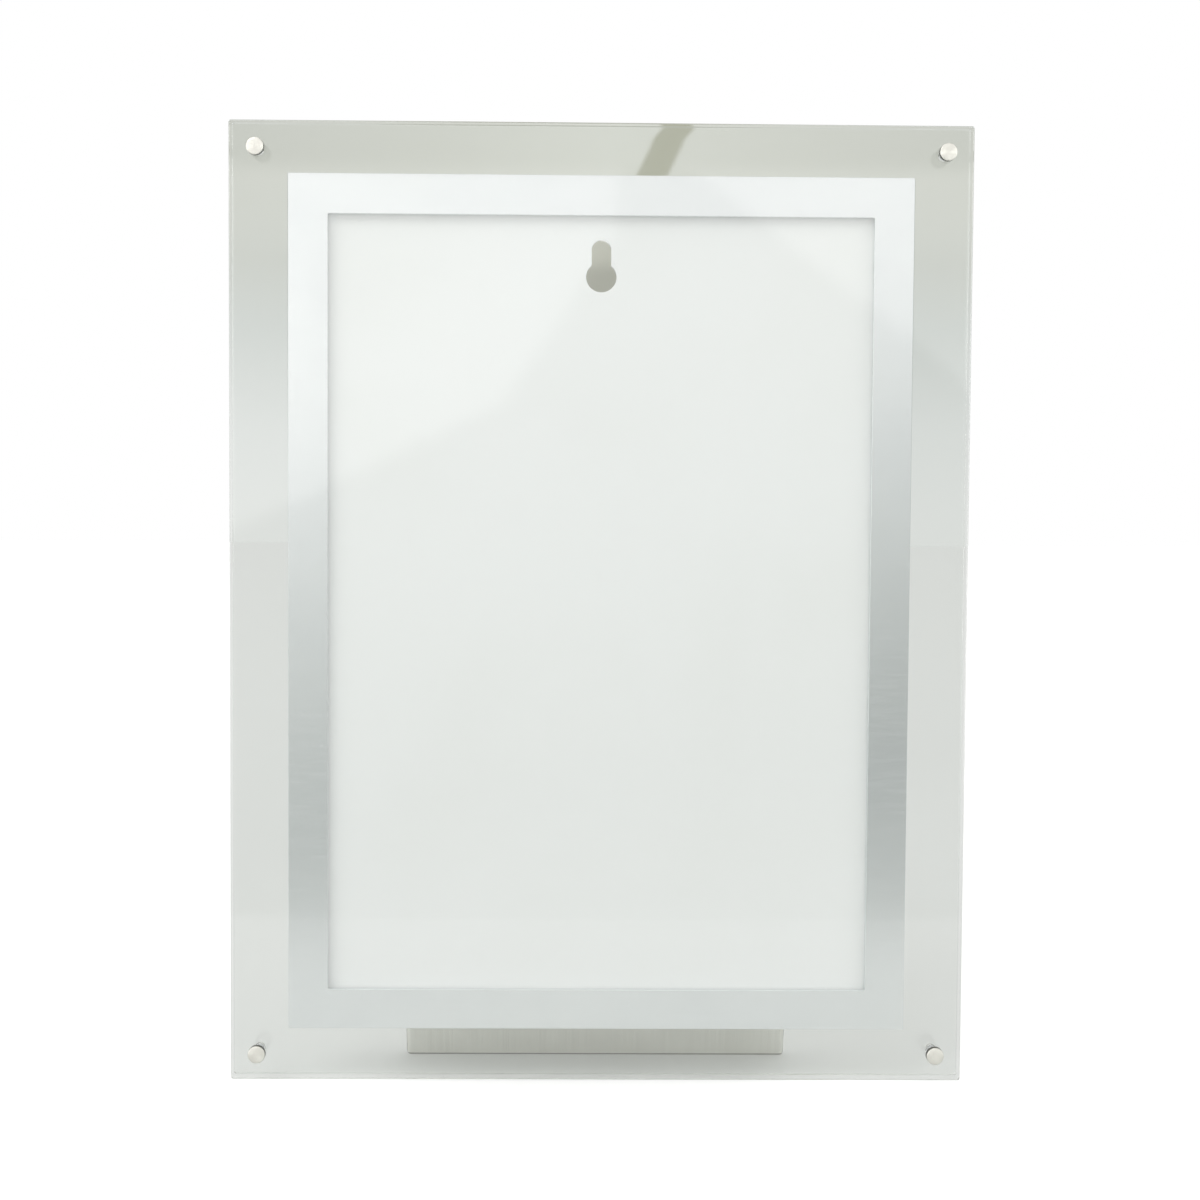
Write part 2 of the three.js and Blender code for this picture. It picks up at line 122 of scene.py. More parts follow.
class Hexagon(Enum):
    """What a hexagon does to a turned piece."""

    NONE = "none"
    SOCKET = "socket"
    OUTSIDE = "outside"


def nodes_of(prefix: str, places: type[Enum]) -> list[str]:
    """The CAD nodes of a fastener that is there once at each place."""
    return [f"{prefix}_{place.name.lower()}" for place in places]


class Value:
    """A number in a node tree, which takes part in plain arithmetic."""

    def __init__(self, graph: "Graph", socket: bpy.types.NodeSocket) -> None:
        """Keeps the socket and the graph that new nodes go into."""
        self.graph = graph
        self.socket = socket

    def _math(self, operation: str, *others: Any) -> "Value":
        """Adds a Math node on this value and the others, in their order."""
        inputs = dict(enumerate((self, *others)))
        return self.graph.number("ShaderNodeMath", {"operation": operation}, inputs)

    def _swapped(self, operation: str, other: float) -> "Value":
        """Adds a Math node with a plain number before this value."""
        return self.graph.number("ShaderNodeMath", {"operation": operation}, {0: other, 1: self})

    def __add__(self, other: Any) -> "Value":
        """This value and another."""
        return self._math("ADD", other)

    def __radd__(self, other: float) -> "Value":
        """A number and this value."""
        return self._swapped("ADD", other)

    def __sub__(self, other: Any) -> "Value":
        """This value less another."""
        return self._math("SUBTRACT", other)

    def __rsub__(self, other: float) -> "Value":
        """A number less this value."""
        return self._swapped("SUBTRACT", other)

    def __mul__(self, other: Any) -> "Value":
        """This value times another."""
        return self._math("MULTIPLY", other)

    def __rmul__(self, other: float) -> "Value":
        """A number times this value."""
        return self._swapped("MULTIPLY", other)

    def __truediv__(self, other: Any) -> "Value":
        """This value over another."""
        return self._math("DIVIDE", other)

    def maximum(self, other: Any) -> "Value":
        """The larger of this value and another."""
        return self._math("MAXIMUM", other)

    def minimum(self, other: Any) -> "Value":
        """The smaller of this value and another."""
        return self._math("MINIMUM", other)

    def sine(self) -> "Value":
        """The sine of this value."""
        return self._math("SINE")

    def cosine(self) -> "Value":
        """The cosine of this value."""
        return self._math("COSINE")

    def size(self) -> "Value":
        """This value without its sign."""
        return self._math("ABSOLUTE")

    def rounded(self) -> "Value":
        """This value as the nearest whole number."""
        return self._math("ROUND")

    def modulo(self, divisor: float) -> "Value":
        """What is left of this value when it is divided."""
        return self._math("MODULO", divisor)

    def above(self, limit: float) -> "Value":
        """1 where this value is above a limit, and 0 elsewhere."""
        return self._math("GREATER_THAN", limit)

    def within(self, low: float, high: float) -> "Value":
        """This value stretched so that low becomes 0 and high 1, smoothly and no further."""
        inputs = {"Value": self, "From Min": low, "From Max": high}
        return self.graph.number("ShaderNodeMapRange", {"interpolation_type": "SMOOTHSTEP"}, inputs)


class Graph:
    """A node tree that is filled by code."""

    def __init__(self, tree: bpy.types.NodeTree) -> None:
        """Empties the tree."""
        self.tree = tree
        tree.nodes.clear()

    def add(
        self,
        kind: str,
        settings: dict[str, Any] | None = None,
        inputs: dict[str | int, Any] | None = None,
    ) -> bpy.types.Node:
        """Adds any node.

        Args:
            kind: The node's type name.
            settings: Its properties, which are set first. "stops" holds a ramp's (place, colour) pairs, and
                "items" how many items an index switch has.
            inputs: Values or links of its input sockets, by name or by number.

        Returns:
            The new node.
        """
        node = self.tree.nodes.new(kind)
        for name, setting in (settings or {}).items():
            if name == "stops":
                self._set_stops(node.color_ramp, setting)
            elif name == "items":
                while len(node.index_switch_items) < setting:
                    node.index_switch_items.new()
            else:
                setattr(node, name, setting)
        for name, given in (inputs or {}).items():
            self.feed(node.inputs[name], given)
        return node

    def _set_stops(self, ramp: bpy.types.ColorRamp, stops: Sequence[tuple[float, Colour]]) -> None:
        """Gives a ramp its stops.

        Args:
            ramp: The ramp.
            stops: Its (place, colour) pairs, from the lowest place to the highest.
        """
        while len(ramp.elements) < len(stops):
            ramp.elements.new(1.0)
        for element, (place, colour) in zip(ramp.elements, stops):
            element.position = place
            element.color = (*colour, 1.0)

    def feed(self, socket: bpy.types.NodeSocket, given: Any) -> None:
        """Fills an input socket.

        Args:
            socket: The socket.
            given: A value, a node, whose first output is meant, or another socket, each of which is linked to
                it, or else what it is set to.
        """
        if isinstance(given, Value):
            self.tree.links.new(given.socket, socket)
        elif isinstance(given, bpy.types.Node):
            self.tree.links.new(given.outputs[0], socket)
        elif isinstance(given, bpy.types.NodeSocket):
            self.tree.links.new(given, socket)
        else:
            colour = socket.type == "RGBA" and len(given) == 3
            socket.default_value = (*given, 1.0) if colour else given

    def number(
        self,
        kind: str,
        settings: dict[str, Any] | None = None,
        inputs: dict[str | int, Any] | None = None,
        output: str | int = 0,
    ) -> Value:
        """Adds a node and gives one of its outputs as a number. The arguments are as for add."""
        return Value(self, self.add(kind, settings, inputs).outputs[output])

    def part(self, vector: Any, axis: str) -> Value:
        """One of the three numbers of a vector, by its axis."""
        return self.number("ShaderNodeSeparateXYZ", {}, {0: vector}, axis)


class ShaderGraph(Graph):
    """A material's or the world's nodes, with the patterns that the finishes share."""

    MIX_LOW = 6
    MIX_HIGH = 7
    MIXED = 2

    def __init__(self, owner: bpy.types.Material | bpy.types.World, ending: str) -> None:
        """Takes over a tree and adds its output node.

        Args:
            owner: What the tree belongs to.
            ending: The output node's type name.
        """
        owner.use_nodes = True
        super().__init__(owner.node_tree)
        self.owner = owner
        self.ending = self.add(ending)

    def finish(self, shader: Any) -> Any:
        """Ends in the given shader, and gives back what the tree belongs to."""
        self.feed(self.ending.inputs["Surface"], shader)
        return self.owner

    def place(self, scale: tuple[float, float, float] = (1.0, 1.0, 1.0)) -> bpy.types.NodeSocket:
        """Object coordinates, stretched by a scale on each axis."""
        coordinates = self.add("ShaderNodeTexCoord").outputs["Object"]
        return self.add("ShaderNodeMapping", {}, {"Vector": coordinates, "Scale": scale}).outputs[0]

    def noise(self, place: bpy.types.NodeSocket, scale: float, detail: float = 2.0) -> Value:
        """Soft noise between 0 and 1, with about scale patches to the metre."""
        return self.number("ShaderNodeTexNoise", {}, {"Vector": place, "Scale": scale, "Detail": detail})

    def specks(self, place: bpy.types.NodeSocket, scale: float, size: float) -> Value:
        """Round specks on nothing, as dust or pits: 1 in a speck's middle and 0 outside it."""
        cells = self.number("ShaderNodeTexVoronoi", {}, {"Vector": place, "Scale": scale}, "Distance")
        return 1 - cells.within(0.0, size)

    def blend(self, mask: Value, low: Colour, high: Colour) -> bpy.types.NodeSocket:
        """A colour that goes from low to high with a mask."""
        colours = {self.MIX_LOW: low, self.MIX_HIGH: high}
        return self.add("ShaderNodeMix", {"data_type": "RGBA"}, {0: mask, **colours}).outputs[self.MIXED]

    def bump(self, height: Value, depth: float, normal: Any = None) -> bpy.types.NodeSocket:
        """Makes a bump.

        Args:
            height: Where the surface lies high and low, from 0 to 1.
            depth: How many metres 1 stands for.
            normal: Another bump that this one lies on, or None for the plain surface.

        Returns:
            What a shader's Normal takes.
        """
        node = self.add("ShaderNodeBump", {}, {"Height": height, "Distance": depth, "Strength": 1.0})
        if normal is not None:
            self.feed(node.inputs["Normal"], normal)
        return node.outputs[0]

    def principled(self, **sockets: Any) -> bpy.types.Node:
        """A Principled shader; underscores in the names stand for spaces."""
        inputs = {name.replace("_", " "): given for name, given in sockets.items()}
        return self.add("ShaderNodeBsdfPrincipled", {}, inputs)


def placed_object(name: str, data: Any) -> bpy.types.Object:
    """Makes an object and puts it in the scene.

    Args:
        name: Its name.
        data: Its mesh, camera or lamp.

    Returns:
        The object.
    """
    made = bpy.data.objects.new(name, data)
    bpy.context.scene.collection.objects.link(made)
    return made


def material_graph(name: str) -> ShaderGraph:
    """A new material's nodes."""
    return ShaderGraph(bpy.data.materials.new(name), "ShaderNodeOutputMaterial")


@dataclass(frozen=True)
class ClearAcrylic:
    """Cast acrylic, polished, with faint smears, hairlines and dust."""

    name: str = "clear_acrylic"
    tint: Colour = (0.95, 0.962, 0.95)
    worn_tint: Colour = (0.94, 0.952, 0.938)
    passed_light: Colour = (0.98, 0.985, 0.98)
    refraction: float = 1.49
    polish: float = 0.012
    smear: float = 0.035
    dusty: float = 0.2
    hairline_depth: float = 0.0015 * MM
    trapped_bounces: float = 4.5
    edge_depth: float = 0.15 * MM
    glancing: tuple[float, float] = (0.75, 0.9)

    def outer_edges(self, graph: ShaderGraph, place: Any) -> Value:
        """Where the sheets' outer edges are.

        Args:
            graph: The material's nodes.
            place: The Object coordinates.

        Returns:
            1 within edge_depth of the sheets' outline and 0 elsewhere.
        """
        stack = Stack()
        across, depth, height = (graph.part(place, axis) for axis in "XYZ")
        _, lean, rise, shift = SEATING.inverted()[2]
        upward = depth * lean + height * rise + (shift - stack.middle)
        sides = across.size().above(stack.sheet_width / 2 - self.edge_depth)
        return sides.maximum(upward.size().above(stack.middle - self.edge_depth))

    def material(self) -> bpy.types.Material:
        """Makes the finish.

        Returns:
            The material. Lamps shine straight through it, so that the poster's space isn't dark. Light that
            glances along an outer edge, or was thrown about between the edges for long, goes straight on too.
        """
        graph = material_graph(self.name)
        place = graph.place()
        smears = graph.noise(place, 14.0, 3.0).within(0.45, 0.8)
        wiped = graph.noise(graph.place((90.0, 90.0, 6.0)), 3.0, 2.0).within(0.55, 0.85)
        dust = graph.specks(place, 260.0, 0.06)
        hairlines = graph.noise(graph.place((1400.0, 40.0, 9.0)), 1.0, 2.0)
        shader = graph.principled(
            Base_Color=graph.blend(smears, self.tint, self.worn_tint),
            Roughness=self.polish + smears * self.smear + wiped * (self.smear / 2) + dust * self.dusty,
            IOR=self.refraction,
            Transmission_Weight=1.0,
            Normal=graph.bump(hairlines, self.hairline_depth),
        )
        through = graph.add("ShaderNodeBsdfTransparent", {}, {"Color": self.passed_light})
        path = graph.add("ShaderNodeLightPath")
        lighting = Value(graph, path.outputs["Is Shadow Ray"]).maximum(path.outputs["Is Diffuse Ray"])
        trapped = Value(graph, path.outputs["Ray Depth"]).above(self.trapped_bounces)
        facing = graph.number("ShaderNodeLayerWeight", {}, {"Blend": 0.5}, "Facing")
        glancing = facing.within(*self.glancing) * self.outer_edges(graph, place)
        straight = lighting.maximum(trapped).maximum(glancing)
        return graph.finish(graph.add("ShaderNodeMixShader", {}, {0: straight, 1: shader, 2: through}))


@dataclass(frozen=True)
class SatinAluminium:
    """Anodised sheet, satin, with a fine even grain."""

    name: str = "satin_aluminium"
    colour: Colour = (0.86, 0.878, 0.883)
    dull_colour: Colour = (0.83, 0.85, 0.86)
    roughness: float = 0.12
    grain_depth: float = 0.006 * MM

    def material(self) -> bpy.types.Material:
        """Makes the finish.

        Returns:
            The material.
        """
        graph = material_graph(self.name)
        place = graph.place()
        cloud = graph.noise(place, 22.0, 4.0)
        grain = graph.noise(place, 5200.0, 2.0)
        rubbed = graph.noise(graph.place((1.0, 1.0, 12.0)), 60.0, 2.0).within(0.4, 0.75)
        return graph.finish(graph.principled(
            Base_Color=graph.blend(cloud.within(0.3, 0.8), self.colour, self.dull_colour),
            Metallic=1.0,
            Roughness=self.roughness + cloud * 0.05 + rubbed * 0.03,
            Normal=graph.bump(grain, self.grain_depth),
        ))


@dataclass(frozen=True)
class WhitePlastic:
    """White plastic sheet, smooth and matt, with the faintest orange peel."""

    name: str = "white_plastic"
    colour: Colour = (0.96, 0.97, 0.965)
    aged_colour: Colour = (0.935, 0.945, 0.93)
    roughness: float = 0.42
    peel_depth: float = 0.012 * MM

    def material(self) -> bpy.types.Material:
        """Makes the finish.

        Returns:
            The material.
        """
        graph = material_graph(self.name)
        place = graph.place()
        cloud = graph.noise(place, 7.0, 3.0)
        peel = graph.noise(place, 900.0, 2.0) + graph.noise(place, 4200.0, 2.0) * 0.3
        scuffs = graph.noise(graph.place((300.0, 300.0, 12.0)), 1.0, 2.0).within(0.62, 0.8)
        return graph.finish(graph.principled(
            Base_Color=graph.blend(cloud.within(0.35, 0.85), self.colour, self.aged_colour),
            Roughness=self.roughness + cloud * 0.1 + scuffs * 0.1,
            Normal=graph.bump(peel, self.peel_depth),
        ))


@dataclass(frozen=True)
class TurnedMetal:
    """Metal turned on a lathe, with rings in its faces.

    The pieces' UV maps run round and along their profiles.
    Painted contact shade, with some grime, darkens the colour where a profile's radius and depth add up to
    more than its start length, as at the caps' feet where they meet the sheet.
    """

    name: str
    colour: Colour
    tarnish: Colour
    roughness: float
    ring_pitch: float = 0.09 * MM
    ring_depth: float = 0.004 * MM
    # Colour, start and reach of the painted contact shade, with some grime, at the profiles' feet.
    shade_and_grime: Colour = (0.05, 0.045, 0.035)
    shade_and_grime_start: float = 1.0
    shade_and_grime_reach: float = 0.8 * MM

    def material(self) -> bpy.types.Material:
        """Makes the finish.

        Returns:
            The material.
        """
        graph = material_graph(self.name)
        turning = graph.add("ShaderNodeUVMap", {"uv_map": TurnedTree.UV_NAME})
        along = graph.part(turning, "Y") * TurnedTree.UV_LENGTH
        place = graph.place()
        waver = graph.noise(place, 700.0, 2.0) * self.ring_pitch
        rings = ((along + waver) * (math.tau / self.ring_pitch)).sine()
        cloud = graph.noise(place, 420.0, 3.0)
        pits = graph.specks(place, 2600.0, 0.12)
        ringed = graph.bump(rings, self.ring_depth)
        clean = graph.blend(cloud.within(0.4, 0.9), self.colour, self.tarnish)
        # Painted contact shade with some grime: the colour darkens towards the feet of the profiles, where the
        # caps meet the sheet.
        shade_and_grime_end = self.shade_and_grime_start + self.shade_and_grime_reach
        shaded_and_soiled = (along + cloud * (self.shade_and_grime_reach / 2)).within(self.shade_and_grime_start, shade_and_grime_end)
        return graph.finish(graph.principled(
            Base_Color=graph.blend(shaded_and_soiled, clean, self.shade_and_grime),
            Metallic=1.0,
            Roughness=self.roughness + cloud * 0.12 + pits * 0.15,
            Normal=graph.bump(0 - pits, self.ring_depth, ringed),
        ))


@dataclass(frozen=True)
class BrushedSteel:
    """Steel sheet brushed up and down, with fine streaks and a few marks of use."""

    name: str = "brushed_steel"
    colour: Colour = (0.92, 0.915, 0.87)
    dark_colour: Colour = (0.765, 0.755, 0.71)
    roughness: float = 0.45
    streak_depth: float = 0.012 * MM
    # Painted shade: a dark line along the foot in place of its contact shadow, and darkened bent sides.
    painted_shade_colour: Colour = (0.36, 0.345, 0.31)
    foot_shade_height: float = 0.35 * MM
    side_shade_start: float = 73.6 * MM
    side_shade_reach: float = 0.3 * MM

    def material(self) -> bpy.types.Material:
        """Makes the finish.

        Returns:
            The material, with painted shade along the leg's foot in place of its contact shadow, and on its
            bent sides.
        """
        graph = material_graph(self.name)
        fine = graph.noise(graph.place((4200.0, 60.0, 26.0)), 1.0, 3.0)
        broad = graph.noise(graph.place((700.0, 30.0, 12.0)), 1.0, 3.0)
        place = graph.place()
        cloud = graph.noise(place, 60.0, 4.0)
        spots = graph.specks(place, 330.0, 0.1) * graph.noise(place, 90.0, 2.0).within(0.5, 0.7)
        streaks = fine * 0.7 + broad * 0.3
        shade = (streaks * 0.75 + cloud * 0.35 + spots * 0.3).within(0.25, 0.95)
        across = graph.part(place, "X").size()
        height = graph.part(place, "Z")
        # Painted shade: a dark line along the foot stands in for its contact shadow, and the bent sides are
        # darkened as if in shade.
        foot = 1 - height.within(self.foot_shade_height, 2 * self.foot_shade_height)
        side = across.within(self.side_shade_start, self.side_shade_start + self.side_shade_reach)
        brushed = graph.blend(shade, self.colour, self.dark_colour)
        return graph.finish(graph.principled(
            Base_Color=graph.blend(foot.maximum(side), brushed, self.painted_shade_colour),
            Metallic=1.0,
            Roughness=self.roughness + streaks * 0.16 + spots * 0.1,
            Normal=graph.bump(streaks, self.streak_depth),
        ))


@dataclass(frozen=True)
class Finishes:
    """One material for each slot."""

    acrylic: bpy.types.Material
    aluminium: bpy.types.Material
    plastic: bpy.types.Material
    nickel: bpy.types.Material
    steel: bpy.types.Material
    zinc: bpy.types.Material

    @classmethod
    def mixed(cls) -> "Finishes":
        """Makes all the materials.

        Returns:
            The set of them.
        """
        nickel = TurnedMetal(
            name="satin_nickel",
            colour=(0.72, 0.715, 0.655),
            tarnish=(0.62, 0.61, 0.555),
            roughness=0.24,
            # The caps' feet, where they meet the sheet, get painted contact shade with some grime.
            shade_and_grime_start=0.5 * MM,
        )
        zinc = TurnedMetal(
            name="zinc_steel",
            colour=(0.74, 0.75, 0.76),
            tarnish=(0.62, 0.63, 0.64),
            roughness=0.5,
            ring_pitch=0.14 * MM,
        )
        return cls(
            acrylic=ClearAcrylic().material(),
            aluminium=SatinAluminium().material(),
            plastic=WhitePlastic().material(),
            nickel=nickel.material(),
            steel=BrushedSteel().material(),
            zinc=zinc.material(),
        )


def arc(centre: tuple[float, float], radius: float, start: float, end: float, steps: int) -> Points:
    """Points along an arc.

    Args:
        centre: Its centre.
        radius: Its radius.
        start: The angle of its first point, in radians.
        end: The angle of its last point.
        steps: How many chords it has.

    Returns:
        The points, first and last included.
    """
    angles = [start + (end - start) * step / steps for step in range(steps + 1)]
    return [Vector((centre[0] + radius * math.cos(a), centre[1] + radius * math.sin(a))) for a in angles]


def rectangle(width: float, height: float, radius: float, middle: float, steps: int = 8) -> Points:
    """An outline with round corners, centred on x = 0, that runs anticlockwise as seen from the front.

    Args:
        width: Its whole width.
        height: Its whole height.
        radius: The corners' radius.
        middle: The height of its centre.
        steps: Chords in each corner.

    Returns:
        Its points.
    """
    across, up = width / 2 - radius, height / 2 - radius
    points = []
    for turn, (right, top) in enumerate(((1, -1), (1, 1), (-1, 1), (-1, -1))):
        start = (turn - 1) * QUARTER
        points += arc((right * across, middle + top * up), radius, start, start + QUARTER, steps)
    return points


def circle(centre: tuple[float, float], radius: float, steps: int = 48) -> Points:
    """A round hole's outline, which runs clockwise."""
    return arc(centre, radius, math.tau, 0.0, steps)[:-1]


def inset(points: Points, distance: float) -> Points:
    """Moves an outline to its left, which is into the material.

    Args:
        points: The outline.
        distance: How far it moves.

    Returns:
        The moved outline, with as many points.
    """
    moved = []
    for before, here, after in zip(points[-1:] + points[:-1], points, points[1:] + points[:1]):
        left = (here - before).normalized().orthogonal() + (after - here).normalized().orthogonal()
        moved.append(here + left * (2 * distance / left.length_squared))
    return moved


@dataclass(frozen=True)
class Edge:
    """One outline of a plate, with the profile of its edge as (inset, depth) pairs from front to back."""

    outline: Points
    profile: list[tuple[float, float]]


def eased(front: float, back: float, size: float, steps: int = 1) -> list[tuple[float, float]]:
    """An edge profile with both its corners taken off.

    Args:
        front: The depth of the plate's front.
        back: The depth of its back.
        size: How far the corners are taken off.
        steps: 1 for a flat chamfer, more for a rounded corner.

    Returns:
        The profile's (inset, depth) pairs.
    """
    angles = [QUARTER * step / steps for step in range(steps + 1)]
    corner = [(size * (1 - math.sin(angle)), size * (1 - math.cos(angle))) for angle in angles]
    return [(aside, front + depth) for aside, depth in corner] + [
        (aside, back - depth) for aside, depth in reversed(corner)
    ]


class Solid:
    """Rings of points with the faces between them, which make one closed mesh."""

    def __init__(self) -> None:
        """Starts with nothing."""
        self.vertices: Points = []
        self.faces: list[list[int]] = []

    def ring(self, points: Sequence[Vector]) -> list[int]:
        """Adds points.

        Args:
            points: The points.

        Returns:
            Their numbers.
        """
        first = len(self.vertices)
        self.vertices += points
        return list(range(first, len(self.vertices)))

    def level(self, outline: Points, depth: float) -> list[int]:
        """Adds an outline at a depth behind the front face."""
        return self.ring([Vector((point.x, depth, point.y)) for point in outline])

    def wall(self, front: list[int], back: list[int]) -> None:
        """Joins two rings of as many points.

        Args:
            front: The first ring's numbers.
            back: The second ring's.
        """
        following = front[1:] + front[:1], back[1:] + back[:1]
        for here, behind, after, behind_after in zip(front, back, *following):
            self.faces.append([here, behind, behind_after, after])

    def cap(self, rings: Sequence[list[int]], facing: Vector) -> None:
        """Fills the first ring, less the others, with triangles.

        Args:
            rings: The rings' numbers, the outer one first.
            facing: The direction that the triangles face.
        """
        loops = [[self.vertices[index] for index in ring] for ring in rings]
        numbers = [index for ring in rings for index in ring]
        for triangle in tessellate_polygon(loops):
            a, b, c = (numbers[index] for index in triangle)
            corner = self.vertices[a]
            turned = (self.vertices[b] - corner).cross(self.vertices[c] - corner).dot(facing) < 0
            self.faces.append([a, c, b] if turned else [a, b, c])

    def walls(self, edges: Sequence[Edge]) -> list[tuple[list[int], list[int]]]:
        """Adds a plate's edges without its faces.

        Args:
            edges: The edges.

        Returns:
            Each edge's first and last ring.
        """
        ends = []
        for edge in edges:
            rings = [self.level(inset(edge.outline, aside), depth) for aside, depth in edge.profile]
            for front, back in zip(rings, rings[1:]):
                self.wall(front, back)
            ends.append((rings[0], rings[-1]))
        return ends

    def plate(self, edges: Sequence[Edge]) -> None:
        """Adds a plate.

        Args:
            edges: Its outer edge, and then its holes' edges.
        """
        ends = self.walls(edges)
        self.cap([front for front, _ in ends], FORWARD)
        self.cap([back for _, back in ends], BACKWARD)

    def mesh(self, name: str, material: bpy.types.Material) -> bpy.types.Mesh:
        """Makes the mesh, smooth but for its sharp corners.

        Args:
            name: Its name.
            material: Its finish.

        Returns:
            The mesh.
        """
        mesh = bpy.data.meshes.new(name)
        mesh.from_pydata(self.vertices, [], self.faces)
        mesh.materials.append(material)
        mesh.shade_smooth()
        mesh.set_sharp_from_angle(angle=SHARP_ANGLE)
        return mesh


class GeometryTree(Graph):
    """A Geometry Nodes tree with named inputs, which ends in one plain mesh of one material."""

    def __init__(self, name: str, sizes: dict[str, float]) -> None:
        """Makes the tree's interface.

        Args:
            name: The tree's name.
            sizes: Its named sizes, in metres, with what they are.
        """
        super().__init__(bpy.data.node_groups.new(name, "GeometryNodeTree"))
        self.sizes = sizes
        interface = self.tree.interface
        interface.new_socket("Geometry", in_out="OUTPUT", socket_type="NodeSocketGeometry")
        interface.new_socket("Places", in_out="INPUT", socket_type="NodeSocketGeometry")
        for size in sizes:
            interface.new_socket(size, in_out="INPUT", socket_type="NodeSocketFloat")
        interface.new_socket("Finish", in_out="INPUT", socket_type="NodeSocketMaterial")
        self.given = self.add("NodeGroupInput")

    def size(self, name: str) -> Value:
        """One of the named sizes."""
        return Value(self, self.given.outputs[name])

    def vector(self, x: Any = 0.0, y: Any = 0.0, z: Any = 0.0) -> bpy.types.Node:
        """A point or direction of three numbers."""
        return self.add("ShaderNodeCombineXYZ", {}, {0: x, 1: y, 2: z})

    def placed(self, shape: Any) -> None:
        """Puts a shape at every place, as real faces with sharp corners kept, and ends the tree.

        Args:
            shape: The node that makes the shape.
        """
        faces, edges = {"domain": "FACE"}, {"domain": "EDGE"}
        smooth = self.add("GeometryNodeSetShadeSmooth", faces, {0: shape, "Shade Smooth": True})
        corners = self.number("GeometryNodeInputMeshEdgeAngle")
        sharp = self.add("FunctionNodeCompare", {"operation": "GREATER_THAN"}, {0: corners, 1: SHARP_ANGLE})
        creased = self.add("GeometryNodeSetShadeSmooth", edges, {
            0: smooth, "Selection": sharp, "Shade Smooth": False,
        })
        points, finish = self.given.outputs["Places"], self.given.outputs["Finish"]
        copies = self.add("GeometryNodeInstanceOnPoints", {}, {"Points": points, "Instance": creased})
        real = self.add("GeometryNodeRealizeInstances", {}, {0: copies})
        dressed = self.add("GeometryNodeSetMaterial", {}, {0: real, "Material": finish})
        self.add("NodeGroupOutput", {}, {0: dressed})

    def bake(self, places: Sequence[Vector], material: bpy.types.Material) -> bpy.types.Mesh:
        """Runs the tree.

        Args:
            places: Where the shape stands.
            material: Its finish.

        Returns:
            The copies as one plain mesh.
        """
        name = self.tree.name
        base = bpy.data.meshes.new(name)
        base.from_pydata(places, [], [])
        holder = placed_object(name, base)
        modifier = holder.modifiers.new(name, "NODES")
        modifier.node_group = self.tree
        values = {**self.sizes, "Finish": material}
        for socket in self.tree.interface.items_tree:
            if socket.in_out == "INPUT" and socket.name in values:
                modifier[socket.identifier] = values[socket.name]
        graph = bpy.context.evaluated_depsgraph_get()
        mesh = bpy.data.meshes.new_from_object(holder.evaluated_get(graph), depsgraph=graph)
        bpy.data.objects.remove(holder)
        return mesh


@dataclass(frozen=True)
class Thread:
    """The part of a profile that runs in and out between root and crest, worked out by the tree itself."""

    root: Any
    crest: Any
    start: Any
    pitch: Any
    turns: int


